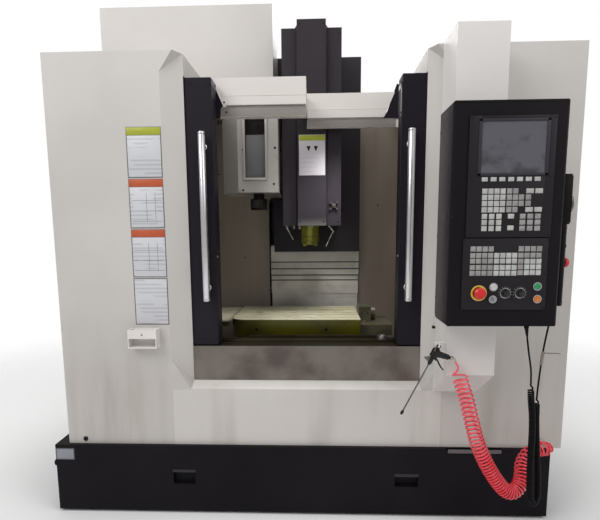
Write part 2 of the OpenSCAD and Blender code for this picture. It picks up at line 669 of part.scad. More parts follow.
module saddle() color(cast) place() {
    y0 = table_y + 20; y1 = table_y + table_d - 20;
    difference() {
        bx(-420, 420, y0, y1, way_z + 30, table_z - table_t - 30);
        bx(-370, -30, y0 + 40, y1 - 40, way_z, table_z - table_t - 70);
        bx(30, 370, y0 + 40, y1 - 40, way_z, table_z - table_t - 70);
    }
    for (s = [-1, 1]) bx(s * 240 - 60, s * 240 + 60, y0 - 10, y1 + 10, way_z + clr, way_z + 31);
    for (y = [y0 + 50, y1 - 50]) bx(-418, 418, y - 20, y + 20, table_z - table_t - 31,
        table_z - table_t - clr);
}

module table() color(cast) place() {
    x0 = table_x - table_l / 2; x1 = table_x + table_l / 2; y0 = table_y; y1 = table_y + table_d; r = 70;
    z0 = table_z - table_t;
    difference() {
        union() {
            bx(x0 + r, x1, y0, y1, z0, table_z);
            bx(x0, x0 + r + 1, y0 + r, y1, z0, table_z);
            cz(x0 + r, y0 + r, z0, r, table_t);
        }
        for (i = [-2:2]) {
            y = table_y + table_d / 2 + i * tslot_pitch;
            bx(x0 - 1, x1 + 1, y - tslot_w / 2, y + tslot_w / 2, table_z - 30, table_z + 1);
            bx(x0 - 1, x1 + 1, y - tslot_w * 0.85, y + tslot_w * 0.85, table_z - 42, table_z - 28);
        }
        bx(x0 + 60, x1 - 60, y0 + 40, y0 + 150, z0 - 1, z0 + 35);
        bx(x0 + 60, x1 - 60, y1 - 150, y1 - 40, z0 - 1, z0 + 35);
    }
}
module x_covers() color([0.34, 0.34, 0.33]) place() {
    x0 = table_x - table_l / 2; x1 = table_x + table_l / 2; z0 = table_z - table_t;
    // right end: bearing block and cover
    bx(x1, x1 + 178, table_y + 60, table_y + table_d - 40, z0 + 2, z0 + 60);
    bx(x1, x1 + 70, table_y + 150, table_y + 290, z0 + 59, table_z + 45);
    cx(x1 + 69, table_y + 220, z0 + 100, 38, 30);
    // left end: drip tray, level with the top and rounded at its outer corner
    difference() {
        union() {
            bx(x0 - 70, x0, table_y + 10, table_y + table_d - 10, z0 + 60, table_z - 5);
            bx(x0 - 175, x0 - 69, table_y + 115, table_y + table_d - 10, z0 + 60, table_z - 5);
            cz(x0 - 70, table_y + 115, z0 + 60, 105, table_t - 65);
        }
        bx(x0, x0 + 100, table_y - 1, table_y + table_d, z0 + 50, table_z);
        bx(x0 - 171, x0 + 1, table_y + 118, table_y + table_d - 14, z0 + 55, table_z - 9);
    }
}

module head_casting() color(cast) place() {
    // slide on the column's rails
    difference() {
        bx(spindle_x - 225, spindle_x + 225, 1086, col_y - 30, slide_z0, slide_z1);
        bx(spindle_x - 120, spindle_x + 120, 1130, col_y, slide_z0 + 68, slide_z1 - 70);
    }
    for (s = [-1, 1]) for (z = [slide_z0 + 8, slide_z1 - 110]) difference() {
        bx(spindle_x + s * 190 - 34, spindle_x + s * 190 + 34, col_y - 32, col_y - 4, z, z + 100);
        bx(spindle_x + s * 190 - 22 - clr, spindle_x + s * 190 + 22 + clr, col_y - 28 - clr, col_y,
            z - 1, z + 101);
    }
    // arm
    difference() {
        bx(spindle_x - 130, spindle_x + 130, 600, 1088, 1400, 1800);
        bx(spindle_x - 95, spindle_x + 95, 840, 1050, 1380, 1765);
    }
    // spindle housing and motor
    difference() {
        union() {
            cz(nose_x, spindle_y, nose_z + 18, nose_r, 140);
            cz(nose_x, spindle_y, cover_z0 + 3, nose_r + 14, 48);
        }
        cz(nose_x, spindle_y, nose_z + 17, 36, 30);
    }
    xy(crect(spindle_x - 75, spindle_x + 75, spindle_y - 90, spindle_y + 90, 22), 1799, 2280);
    cz(spindle_x, spindle_y, 2279, 60, 40);
}
function cover_line(t) = [[cover_x - cover_w / 2 + t, 935 + t * 3], [cover_x - cover_w / 2 + t,
    cover_y + cover_step + t],
    [cover_x - cover_mid_w / 2 - 12 + t, cover_y + cover_step + t], [cover_x - cover_mid_w / 2 + t,
        cover_y + t],
    [cover_x + cover_mid_w / 2 - t, cover_y + t], [cover_x + cover_mid_w / 2 + 12 - t,
        cover_y + cover_step + t],
    [cover_x + cover_w / 2 - t, cover_y + cover_step + t], [cover_x + cover_w / 2 - t, 935 + t * 3]];
module head_cover() color(navy) place() {
    hm = cover_mid_w / 2;
    difference() {
        union() {
            xy(cover_line(0), cover_z0, cover_z2);
            bx(cover_x - hm, cover_x + hm, cover_y, 900, cover_z2 - 1, cover_z1);
        }
        xy(cover_line(3), cover_z0 + 3, cover_z2 - 3);
        bx(cover_x - hm + 3, cover_x + hm - 3, cover_y + 3, 897, cover_z2 - 10, cover_z1 - 3);
        cz(nose_x, spindle_y, cover_z0 - 1, nose_r + 6, 5);
        bx(spindle_x - 140, spindle_x + 140, 780, 940, cover_z0 - 1, cover_z0 + 5);
    }
    // four-armed knob on the right step
    translate([cover_x + 118, cover_y + cover_step + e, 1456]) rotate([90, 0, 0]) {
        cylinder(r = 11, h = 12);
        for (a = [45:90:315]) rotate([0, 0, a]) {
            translate([0, -3.5, 4]) cube([25, 7, 6]);
            translate([25, 0, 0]) cylinder(r = 6, h = 10);
        }
    }
}
module head_back_cover() color(navy) place() {
    x0 = spindle_x - 252; x1 = spindle_x + 283; xu = spindle_x - 221; y0 = 940; y1 = 1084; zu = 1955;
    difference() {
        union() {
            bx(x0, x1, y0, y1, back_z0, zu);
            bx(xu, x1, y0, y1, zu - 1, back_z1);
        }
        bx(x0 + 3, x1 - 3, y0 + 3, y1 + 1, back_z0 - 1, zu - 3);
        bx(xu + 3, x1 - 3, y0 + 3, y1 + 1, zu - 5, back_z1 - 3);
        bx(cover_x - cover_w / 2 + 8, cover_x + cover_w / 2 - 8, y0 - 1, y0 + 4, cover_z0 + 6,
            cover_z2 - 20);
    }
    // flanges to the slide
    for (z = [1300, 1880]) for (s = [-1, 1]) bx(spindle_x + s * 200 - 10, spindle_x + s * 200 + 10,
        y0 + 2, 1086, z, z + 60);
    for (s = [-1, 1]) for (z = [1450, 1700])
        bx(cover_x + s * 149 - 7, cover_x + s * 149 + 7, 936, y0 + 3, z, z + 40);
}
module spindle_nose() color(inox) place() {
    difference() {
        union() {
            cz(nose_x, spindle_y, nose_z, nose_r - 6, 17.5);
            cz(nose_x, spindle_y, nose_z + 16, 35, 28);
        }
        translate([nose_x, spindle_y, nose_z - e]) cylinder(r1 = taper_r, r2 = taper_r - 11, h = 38);
    }
    for (s = [-1, 1]) bx(nose_x + s * 32 - 8, nose_x + s * 32 + 8, spindle_y - 8, spindle_y + 8,
        nose_z - 8, nose_z + 1);
}
// a thin jet on a ball joint; it leans by that angle
module jet(x, z, lean) translate([x, 620, z]) rotate([0, 180 + lean, 0]) {
    sphere(r = 6.5, $fn = 20);
    cylinder(r1 = 3.6, r2 = 2.8, h = 72);
}
module coolant_nozzles() color([0.9, 0.9, 0.88]) place() {
    xa = nose_x - 128; xb = nose_x + 108;
    cz(xa, 620, 1340, 6, cover_z0 - 1340);
    jet(xa, 1340, -28);
    // the right one hangs on an elbow
    cz(xb, 620, cover_z0 - 5, 4.5, 5);
    translate([xb, 620, cover_z0 - 3.4]) rotate([0, 140, 0]) cylinder(r = 4.5, h = 37);
    translate([xb + 25.7, 620, cover_z0 - 31.6]) sphere(r = 6.5, $fn = 20);
    translate([xb + 25.7, 620, cover_z0 - 31.6]) rotate([0, 215, 0]) cylinder(r = 4.5, h = 22);
    jet(xb + 13, cover_z0 - 49.5, 24);
    // two plugs
    for (x = [nose_x - 88, nose_x - 56]) cz(x, 620, cover_z0 - 18, 6, 18);
}

module z_stage(i, y) {
    zt = back_z0 + 35 - i * stage_step;
    x0 = spindle_x - stage_half + i * 2; x1 = spindle_x + stage_half - i * 2;
    difference() {
        bx(x0, x1, y, y + stage_t - clr, zt - stage_h, zt);
        for (k = [46, 88]) bx(x0 - 1, x1 + 1, y - 1, y + 3.4, zt - stage_h + k - 3, zt - stage_h + k + 3);
    }
}
module z_cover_1() color(inox) place() {
    z_stage(0, stage_y);
    for (s = [-1, 1]) bx(spindle_x + s * 200 - 20, spindle_x + s * 200 + 20, stage_y - 2, stage_y + e,
        back_z0 + 5, back_z0 + 34);
    for (s = [-1, 1]) bx(spindle_x + s * 200 - 20, spindle_x + s * 200 + 20, stage_y - 2, stage_y + 4, back_z0 + 34,
        slide_z0);
}
module z_cover_2() color(inox) place() z_stage(1, stage_y + stage_t);
module z_cover_3() color(inox) place() z_stage(2, stage_y + 2 * stage_t);
module z_cover_4() color(inox) place() {
    z_stage(3, stage_y + 3 * stage_t);
    for (s = [-1, 1]) bx(spindle_x + s * 235 - 12, spindle_x + s * 235 + 12, stage_y + 4 * stage_t - 0.5, col_y,
        back_z0 - 520, back_z0 - 480);
}

module magazine_disc() color([0.6, 0.61, 0.62]) place() translate([mag_x, mag_y0 + 60, mag_z])
    rotate([-90, 0, 0]) {
    difference() {
        translate([0, 0, 116]) cylinder(r = mag_r - 55, h = 16, $fn = 96);
        translate([0, 0, 115]) cylinder(r = 36, h = 18);
        for (a = [0:60:300]) rotate([0, 0, a]) translate([118, 0, 115]) cylinder(r = 34, h = 18);
    }
    difference() {
        translate([0, 0, 126]) cylinder(r = 58, h = 54);
        translate([0, 0, 120]) cylinder(r = 35 + clr, h = 62);
    }
    for (i = [0:mag_pots - 1]) rotate([0, 0, i * 360 / mag_pots]) translate([mag_r - 30, 0, 70])
        difference() {
        cylinder(r = 29, h = 100, $fn = 24);
        translate([0, 0, -1]) cylinder(r = 20, h = 60, $fn = 24);
    }
}

module atc_arm() color([0.2, 0.2, 0.22]) place() {
    cz(arm_x, arm_y, 1440, 46, 60);
    cz(arm_x, arm_y, 1499, 30, 90);
    difference() {
        union() {
            bx(arm_x - 22, arm_x + 22, arm_y - arm_half, arm_y + arm_half, 1450, 1480);
            for (s = [-1, 1]) cz(arm_x, arm_y + s * arm_half, 1446, 38, 38);
        }
        for (s = [-1, 1]) cz(arm_x + s * 30, arm_y + s * arm_half, 1445, 32, 40);
    }
}

module panel_box() intersection() {
    xy(crect(panel_x, panel_x + panel_w, panel_y, panel_y + panel_d, 8), panel_z, panel_z + panel_h);
    xz(crect(panel_x, panel_x + panel_w, panel_z, panel_z + panel_h, 5), panel_y - 1,
        panel_y + panel_d + 1);
    yz([[panel_y, panel_z], [panel_y + panel_d - 30, panel_z], [panel_y + panel_d, panel_z + 26],
        [panel_y + panel_d, panel_z + panel_h], [panel_y, panel_z + panel_h]], panel_x - 1,
            panel_x + panel_w + 1);
}
module panel_housing() color(black) place() {
    difference() {
        panel_box();
        bx(panel_x + 6, panel_x + panel_w - 6, panel_y + 6, panel_y + panel_d - 4, panel_z + 30,
            panel_z + panel_h - 6);
        // openings behind the key units
        bx(570, 830, panel_y - 1, panel_y + 7, 1315, 1690);
    }
    for (z = [1090, 1560]) difference() {
        union() {
            cz(hinge_x, hinge_y, z + 25 + clr, 9, 30 - 2 * clr);
            bx(hinge_x - 2, hinge_x + 20, panel_y + panel_d - 2, hinge_y + 5, z + 25 + clr, z + 55 - clr);
        }
        cz(hinge_x, hinge_y, z + 20, 4 + clr, 40);
    }
    // bracket for the hand unit
    bx(panel_x + panel_w - e, panel_x + panel_w + 8, -350, -290, 1080, 1120);
    bx(panel_x + panel_w - e, panel_x + panel_w + 8, -350, -290, 1440, 1480);
    // cable glands below
    cz(814, -330, panel_z - 12, 12, 14);
}
module panel_screen() color([0.05, 0.06, 0.07]) place() bx(595, 815, face_y + 1, face_y + 4, 1511, 1684);

// a block of key caps: columns, rows, lower-left corner, size
module keys(x0, x1, z0, z1, nx, nz) for (i = [0:nx - 1]) for (j = [0:nz - 1]) {
    px = (x1 - x0) / nx; pz = (z1 - z0) / nz;
    kx = min(key_size, px - 3); kz = min(key_size, pz - 3);
    translate([x0 + (i + 0.5) * px - kx / 2, face_y - 2.5, z0 + (j + 0.5) * pz - kz / 2]) cube([kx, 3, kz]);
}
module mdi_keys() color([0.16, 0.16, 0.17]) place() {
    difference() {
        xz(crect(555, 846, 1294, 1702, 6), face_y, panel_y);
        bx(595, 815, face_y - 1, face_y + 4, 1511, 1684);
    }
    keys(597, 805, 1481, 1502, 7, 1);
    keys(604, 686, 1378, 1462, 4, 4);
    keys(688, 749, 1378, 1462, 3, 4);
    keys(752, 813, 1378, 1462, 3, 4);
    keys(604, 678, 1314, 1376, 3, 3);
    keys(694, 720, 1356, 1376, 1, 1);
    keys(694, 720, 1316, 1336, 1, 1);
    keys(734, 811, 1314, 1376, 3, 3);
}
module operator_keys() color([0.14, 0.14, 0.15]) place() {
    xz(crect(548, 842, 1038, 1290, 6), face_y, panel_y);
    keys(572, 655, 1242, 1265, 4, 1);
    keys(738, 821, 1242, 1265, 4, 1);
    keys(572, 654, 1201, 1241, 4, 2);
    keys(655, 737, 1201, 1241, 4, 2);
    keys(738, 820, 1221, 1241, 4, 1);
    keys(738, 759, 1160, 1220, 1, 3);
    keys(760, 821, 1160, 1220, 3, 3);
    keys(572, 654, 1158, 1199, 4, 2);
    keys(655, 737, 1158, 1199, 4, 2);
}
module ring(x, z, r0, r1, h) difference() {
    cf(x, face_y, z, r1, h);
    cf(x, face_y + 1, z, r0, h + 2);
}
module panel_bezels() color([0.75, 0.75, 0.76]) place() {
    ring(607, 1098, 9 + clr, 28, 5);
    ring(607, 1098, 9 + clr, 13, 8);
    for (p = [[657, 1120], [809, 1122], [811, 1077]]) ring(p[0], p[1], button_r + clr, 15, 7);
    ring(657, 1076, 9 + clr, 14, 6);
    for (x = [700, 752]) ring(x, 1098, 6 + clr, 19, 3);
}
module estop_button() color([0.8, 0.08, 0.07]) place() {
    cf(607, face_y - 6.5, 1098, 9, 10);
    translate([607, face_y - 14, 1098]) rotate([90, 0, 0]) cylinder(r1 = estop_r, r2 = estop_r - 1, h = 9);
    translate([607, face_y - 23 + e, 1098]) rotate([90, 0, 0]) cylinder(r1 = estop_r - 1,
        r2 = estop_r - 7, h = 5);
}
module push_cap(x, z) {
    cf(x, face_y - 3, z, button_r, 6);
    translate([x, face_y - 9 + e, z]) rotate([90, 0, 0]) cylinder(r1 = button_r, r2 = button_r - 1.5,
        h = 1.5);
}
module green_button() color([0.1, 0.6, 0.3]) place() push_cap(809, 1122);
module orange_button() color([0.9, 0.35, 0.12]) place() push_cap(811, 1077);
module white_button() color([0.85, 0.85, 0.85]) place() push_cap(657, 1120);
module key_switch() color([0.7, 0.7, 0.7]) place() {
    cf(657, face_y - 1, 1076, 9, 6);
    bx(655.8, 658.2, face_y - 24, face_y - 6.5, 1069, 1083);
}
module knob(x) {
    cf(x, face_y - 0.5, 1098, 6, 4);
    cf(x, face_y - 3.5, 1098, 16, 5);
    translate([x, face_y - 8.4, 1098]) rotate([90, 0, 0]) cylinder(r1 = 12, r2 = 10, h = 12);
    bx(x - 2.5, x + 2.5, face_y - 22, face_y - 8, 1098, 1112);
}
module dial_left() color(black) place() knob(700);
module dial_right() color(black) place() knob(752);

// hand unit hooked on the panel's right side, its wheel facing right
mx = panel_x + panel_w + 8 + clr;
unit_w = 26;                                // thickness of the hand unit's lower part
module mpg_body() color(black) place() {
    difference() {
        union() {
            xy(crect(mx, mx + unit_w, -365, -277, 8), 1045, 1345);
            xy(crect(mx, mx + unit_w + 8, -365, -277, 8), 1338, 1512);
            cx(mx + unit_w + 7, -321, 1410, 40, 3);
            cx(mx + unit_w - 1, -321, 1199, 14, 6);
            for (z = [1260, 1100]) cx(mx + unit_w - 1, -321, z, 14, 4);
        }
        cx(mx + unit_w - 6, -321, 1410, 8, 20);
    }
    translate([mx + unit_w + 4.9, -321, 1199]) rotate([0, 90, 0]) cylinder(r1 = 15, r2 = 12, h = 10);
    for (z = [1260, 1100]) {
        cx(mx + unit_w + 2, -321, z, 11, 11);
        bx(mx + unit_w + 5, mx + unit_w + 15, -323, -319, z - 12, z + 12);
    }
    cz(mx + unit_w / 2, -321, 1033, 9, 13);
    cx(mx - clr, -321, 1100, 12, clr + 2);
    cx(mx - clr, -321, 1460, 12, clr + 2);
}
module mpg_wheel() color([0.2, 0.2, 0.21]) place() difference() {
    union() {
        cx(mx + unit_w - 2, -321, 1410, 7, 14);
        cx(mx + unit_w + 10.6, -321, 1410, 36, 8);
        translate([mx + unit_w + 18, -321, 1410 + 22]) rotate([0, 90, 0]) cylinder(r = 6, h = 12);
    }
    for (a = [0:15:345]) translate([mx + unit_w + 10, -321, 1410]) rotate([a, 0, 0])
        translate([0, 0, 37.4]) rotate([0, 90, 0]) cylinder(r = 2.4, h = 12, $fn = 8);
}

// tube of constant radius swept along hand-set points
function unit(v) = v / norm(v);
function tan_at(p, i) = unit(p[min(i + 1, len(p) - 1)] - p[max(i - 1, 0)]);
function side_at(t) = unit(cross(t, [0.05, 1, 0.02]));
module sweep(p, rr, n) {
    m = len(p);
    pts = [for (i = [0:m - 1]) let (t = tan_at(p, i), a = side_at(t), b = cross(t, a)) for (k = [0:n - 1])
        p[i] + rr[i] * (a * cos(360 * k / n) + b * sin(360 * k / n))];
    faces = concat([[for (k = [0:n - 1]) k]], [for (i = [0:m - 2]) for (k = [0:n - 1]) each [
        [i * n + k, (i + 1) * n + k, i * n + (k + 1) % n],
        [i * n + (k + 1) % n, (i + 1) * n + k, (i + 1) * n + (k + 1) % n]]],
        [[for (k = [n - 1:-1:0]) (m - 1) * n + k]]);
    polyhedron(points = pts, faces = faces);
}
function mid(p) = [for (i = [0:len(p) - 2]) each [p[i], (i == 0 || i > len(p) - 3) ? (p[i] + p[i + 1]) / 2
    : (-p[i - 1] + 9 * p[i] + 9 * p[i + 1] - p[i + 2]) / 16]];
function smooth(p) = concat(mid(p), [p[len(p) - 1]]);

hose_pts = [[559.6, -250, 820.5], [575, -250, 815.7], [588, -250, 784], [599, -250, 742], [615, -252, 694],
    [631, -254, 643], [644, -255, 592], [657, -256, 544], [670, -257, 496], [687, -258, 448],
    [708, -258, 401], [736, -258, 350], [767, -256, 304], [799, -250, 268], [832, -240, 254],
    [864, -224, 268], [887, -197, 302], [904, -160, 338], [938, -134, 367], [996, -112, 382],
    [hose_x, -66, hose_z], [hose_x, -clr, hose_z]];
module air_hose() color([0.85, 0.12, 0.14]) place() sweep(smooth(hose_pts), [for (i = [0:42])
    i < 3 ? 7 : i > 40 ? 7 : 28], 10);

cord_pts = [[814, -330, 964.4], [820, -331, 915], [828, -333, 860], [837, -337, 800], [838, -342, 750],
    [839, -348, 690], [846, -351, 623], [849, -352, 552], [849, -352, 480], [850, -352, 407],
    [853, -351, 337], [863, -346, 284], [880, -336, 262], [895, -325, 284], [896, -321, 340],
    [891, -319, 410], [885, -318, 480], [879, -318, 550], [875, -318, 625], [875, -319, 720],
    [888, -320, 885], [mx + unit_w / 2, -321, 1032.3]];
module mpg_cord() color(black) place() sweep(smooth(cord_pts), [for (i = [0:42]) (i < 8 || i > 36)
    ? 4 : 12], 8);

// air gun: barrel down to the left, grip to the right, lever between them, eye on top
module gun_frame() translate([gun_x, -250, gun_z]) rotate([0, gun_lean, 0]) children();
module gun_body() color(black) place() {
    gun_frame() {
        translate([0, 0, -22]) cylinder(r = 16, h = 30);
        translate([0, 0, 8 - e]) cylinder(r1 = 16, r2 = 9, h = 8);
        translate([0, 0, -50]) cylinder(r = 8, h = 29);
        translate([0, 0, -58]) cylinder(r1 = 4, r2 = 8, h = 8 + e);
        translate([0, 0, -272]) cylinder(r = 3, h = 216, $fn = 24);
        translate([0, 0, -290]) cylinder(r = 5.5, h = 20, $fn = 24);
        // fin beside the barrel
        translate([0, 1.5, 0]) rotate([90, 0, 0]) linear_extrude(3)
            polygon([[-3, -17], [-32, -39], [-30, -42], [-3, -49]]);
        // lugs beside the lever
        for (y = [-9.8, 7.3]) translate([8, y, -29]) cube([10, 2.5, 9]);
        // hanging eye
        difference() {
            union() {
                translate([0, 4, 24]) rotate([90, 0, 0]) cylinder(r = 8.5, h = 8);
                translate([-4, -4, 13]) cube([8, 8, 6]);
            }
            translate([0, 5, 24]) rotate([90, 0, 0]) cylinder(r = 4.8, h = 10);
        }
    }
    // grip and hose nut
    translate([gun_x + 2, -250, gun_z - 7]) rotate([0, 107.4, 0]) {
        cylinder(r1 = 12.5, r2 = 9.5, h = 50);
        translate([0, 0, 50 - e]) cylinder(r = 8, h = 8, $fn = 6);
    }
}
module gun_lever() color([0.18, 0.18, 0.19]) place() gun_frame() translate([13, 0, -25 - clr]) {
    rotate([90, 0, 0]) translate([0, 0, -7]) cylinder(r = 3, h = 14);
    rotate([0, -34.7 - gun_lean, 0]) translate([-2, -7, -54]) cube([4, 14, 54]);
}

module cabinet_door() color(steel) place() {
    y0 = cab_y + cab_d + clr;
    bx(cab_x + 20, cab_x + 20 + cab_dw, y0, y0 + 18, base_h + 65, cab_h - 50);
    for (z = [600, 1150, 1700]) difference() {
        union() {
            cz(cab_hx, cab_hy, z + 20 + clr, 8, 40 - 2 * clr);
            bx(cab_hx, cab_hx + 13, cab_hy - 2, cab_hy + 5, z + 20 + clr, z + 60 - clr);
        }
        cz(cab_hx, cab_hy, z + 10, 4 + clr, 60);
    }
    difference() {
        bx(cab_x + cab_dw - 42, cab_x + cab_dw - 8, y0 + 17, y0 + 24 - clr, 1080, 1240);
        bx(cab_x + cab_dw - 35, cab_x + cab_dw - 15, y0 + 18, y0 + 24, 1095, 1225);
    }
}

bed_casting();
column_casting();
front_panel_left();
front_panel_right();
front_panel_lower();
apron();
side_panel_left();
side_panel_right();
rear_cabinet();
inner_walls();
top_rail_left();
top_rail_right();
magazine_cover();
port_box();
port_window();
pillar();
shelf_box();
level_feet();
z_motor();
coolant_tank();
coolant_pump();
door_left();
door_left_window();
door_left_handle();
door_right();
door_right_window();
door_right_handle();
saddle();
table();
x_covers();
head_casting();
head_cover();
head_back_cover();
spindle_nose();
coolant_nozzles();
z_cover_1();
z_cover_2();
z_cover_3();
z_cover_4();
magazine_disc();
atc_arm();
panel_housing();
panel_screen();
mdi_keys();
operator_keys();
panel_bezels();
estop_button();
green_button();
orange_button();
white_button();
key_switch();
dial_left();
dial_right();
mpg_body();
mpg_wheel();
mpg_cord();
gun_body();
gun_lever();
air_hose();
cabinet_door();
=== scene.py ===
import math

import bmesh
import bpy
from mathutils import Matrix, Vector


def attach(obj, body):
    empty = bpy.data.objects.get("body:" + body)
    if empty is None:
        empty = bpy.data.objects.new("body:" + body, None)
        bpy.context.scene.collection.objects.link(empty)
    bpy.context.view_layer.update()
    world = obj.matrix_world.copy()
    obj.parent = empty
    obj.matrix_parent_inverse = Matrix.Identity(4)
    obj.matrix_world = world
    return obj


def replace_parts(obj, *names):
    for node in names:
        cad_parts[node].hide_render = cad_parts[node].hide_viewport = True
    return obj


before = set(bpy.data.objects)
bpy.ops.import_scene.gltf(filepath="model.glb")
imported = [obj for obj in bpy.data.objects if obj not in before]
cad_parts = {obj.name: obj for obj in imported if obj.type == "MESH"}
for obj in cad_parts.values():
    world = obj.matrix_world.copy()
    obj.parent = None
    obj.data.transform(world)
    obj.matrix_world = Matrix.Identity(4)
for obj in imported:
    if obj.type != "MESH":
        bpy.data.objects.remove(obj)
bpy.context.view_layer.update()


# Camera. It stands in front of the machine, a little right of the middle at 1.3 m, with its
# axis turned 2 degrees to the left and 8 degrees down, and the picture shifted up.
origin_x, origin_y = -47, 845          # the frame's origin on the machine, in millimetres


def spot(x, y, z):
    """A place on the machine in millimetres, as a point of the frame in metres."""
    return Vector(((x - origin_x) / 1000, (y - origin_y) / 1000, z / 1000))


def placed(name, data):
    """A new object of the scene that shows this data."""
    made = bpy.data.objects.new(name, data)
    bpy.context.scene.collection.objects.link(made)
    return made


camera = placed("camera", bpy.data.cameras.new("camera"))
bpy.context.scene.camera = camera
bpy.context.scene.view_settings.view_transform = "Standard"
to_right = Vector((0.99919, 0.03952, -0.00693))
upward = Vector((0.00141, 0.13813, 0.99041))
ahead = Vector((-0.0401, 0.98963, -0.13796))
facing = Matrix((to_right, upward, -ahead)).transposed().to_4x4()
camera.matrix_world = Matrix.Translation(spot(43.78, -2134.15, 1314.97)) @ facing
film, picture, focal, rise = 36, 600, 484, 40          # film in millimetres, the rest in pixels
camera.data.sensor_width = film
camera.data.lens = film * focal / picture
camera.data.shift_y = rise / picture


# Coiled air hose: a red polyurethane tube wound on a mandrel, clamped to the air gun's inlet and
# to a bulkhead fitting low on the right front sheet. It hangs in a loop in front of the tank.
class Lead:
    """One output in a finish's node tree. Sums on it add Math nodes."""

    def __init__(self, finish, socket):
        self.finish, self.socket = finish, socket

    def sum(self, kind, *values):
        return self.finish.node("ShaderNodeMath", {"operation": kind}, dict(enumerate(values)))

    def __add__(self, other):
        return self.sum("ADD", self, other)

    def __sub__(self, other):
        return self.sum("SUBTRACT", self, other)

    def __rsub__(self, other):
        return self.sum("SUBTRACT", other, self)

    def __mul__(self, other):
        return self.sum("MULTIPLY", self, other)

    __radd__, __rmul__ = __add__, __mul__

    def between(self, low, high):
        """0 below low, 1 above high, and smooth between them."""
        return self.finish.node("ShaderNodeMapRange", {"interpolation_type": "SMOOTHSTEP"},
                                {0: self, 1: low, 2: high})

    def tint(self, first, second):
        """The first colour where this is 0, the second where it is 1."""
        colours = {0: self, 6: chip(first), 7: chip(second)}
        return self.finish.node("ShaderNodeMix", {"data_type": "RGBA"}, colours, 2)


class Finish:
    """A surface finish: one material with its shader, and one way to add any other node."""

    def __init__(self, name, colour, rough, metal=0.0, cloud=None, grain=None, **fixed):
        """rough is a number, or what glossed takes; cloud and grain are what clouded and grained
        take; fixed are other sockets of the shader."""
        self.material = bpy.data.materials.new(name)
        self.material.use_nodes = True
        self.shader = self.material.node_tree.nodes["Principled BSDF"]
        self.place = self.node("ShaderNodeTexCoord", out=3)
        self.colour = colour
        self.tone(colour)
        self.give("Metallic", metal)
        if cloud:
            self.clouded(*cloud)
        if isinstance(rough, tuple):
            self.glossed(*rough)
        else:
            self.give("Roughness", rough)
        if grain:
            self.grained(*grain)
        for socket, value in fixed.items():
            self.give(socket.replace("_", " "), value)

    def node(self, kind, settings={}, sockets={}, out=0):
        made = self.material.node_tree.nodes.new(kind)
        for setting, value in settings.items():
            setattr(made, setting, value)
        for socket, value in sockets.items():
            self.plug(made.inputs[socket], value)
        return Lead(self, made.outputs[out])

    def plug(self, socket, value):
        if isinstance(value, Lead):
            self.material.node_tree.links.new(value.socket, socket)
        else:
            socket.default_value = value

    def give(self, socket, value):
        self.plug(self.shader.inputs[socket], value)

    def tone(self, colour):
        """Sets the colour: a chip for the whole surface, or a lead that varies over it."""
        self.give("Base Color", chip(colour))

    def across(self, axis):
        """The place on the piece along one axis, in metres."""
        return self.node("ShaderNodeSeparateXYZ", {}, {0: self.place}, axis)

    def mottle(self, scale, detail=2.0, stretch=(1, 1, 1)):
        """Cloudy unevenness, finer as scale grows, drawn out where stretch is small."""
        place = self.node("ShaderNodeVectorMath", {"operation": "MULTIPLY"}, {0: self.place, 1: stretch})
        return self.node("ShaderNodeTexNoise", {}, {"Vector": place, "Scale": scale, "Detail": detail})

    def patches(self, low, high, *mottled):
        """Patches of a mottle: 0 where it stays below low, 1 where it is above high."""
        return self.mottle(*mottled).between(low, high)

    def clouded(self, scale, detail, other, *limits):
        """Lets the colour drift to the other one and back, or stand in patches between two limits."""
        cloud = self.patches(*limits, scale, detail) if limits else self.mottle(scale, detail)
        self.tone(cloud.tint(self.colour, other))

    def glossed(self, scale, detail, spread, least):
        """Lets the roughness drift between least and least + spread."""
        self.give("Roughness", self.mottle(scale, detail) * spread + least)

    def relief(self, height, strength, depth=0.001):
        bump = {"Height": height, "Strength": strength, "Distance": depth}
        self.give("Normal", self.node("ShaderNodeBump", {}, bump))

    def grained(self, scale, strength, detail=2, depth=0.001):
        """A fine even texture under the finger."""
        self.relief(self.mottle(scale, detail), strength, depth)


def chip(colour):
    """A colour chip, read off as 0 to 255 on the screen. A lead passes unchanged."""
    if isinstance(colour, Lead):
        return colour
    return tuple(v / 255 / 12.92 if v < 10 else ((v / 255 + 0.055) / 1.055) ** 2.4 for v in colour) + (1,)


def eased(points, pieces=14):
    """A smooth line through given points."""
    points = [Vector(p) for p in points]
    ends = [points[0] * 2 - points[1]] + points + [points[-1] * 2 - points[-2]]
    line = []
    for a, b, c, d in zip(ends, ends[1:], ends[2:], ends[3:]):
        for k in range(pieces):
            t = k / pieces
            line.append((2 * b + (c - a) * t + (2 * a - 5 * b + 4 * c - d) * t * t + (3 * b - a - 3 * c + d)
                         * t ** 3) / 2)
    return line + [points[-1]]


def length_of(line):
    return sum((b - a).length for a, b in zip(line, line[1:]))


def wound(line, radius, pitch, straight, ease, per_turn=14):
    """A coil of that radius round a line, with straight ends. It opens out over the length of ease and
    turns more slowly there, so that nothing is bent tighter than the coil. pitch depends on the
    share of the way."""
    whole = length_of(line)
    side = (line[1] - line[0]).cross(Vector((0.05, 1, 0.02))).normalized()
    coil, done, turn, due = [], 0.0, 0.0, 0.0
    for a, b in zip(line, line[1:]):
        step, along = (b - a).length, (b - a).normalized()
        side = (side - along * side.dot(along)).normalized()
        while due <= done + step and due < whole - 1:
            share = min(1, max(0, min(due - straight[0], whole - straight[1] - due) / ease))
            out = radius * share * share * (3 - 2 * share)
            around = side * math.cos(turn) + along.cross(side) * math.sin(turn)
            coil.append(a.lerp(b, (due - done) / step) + around * out)
            lead = max(pitch(due / whole) / 2 / math.pi, math.sqrt(max(0, out * (radius - out))))
            due += lead * 2 * math.pi / per_turn
            turn += 2 * math.pi / per_turn
        done += step
    return coil + [line[-1].copy()]


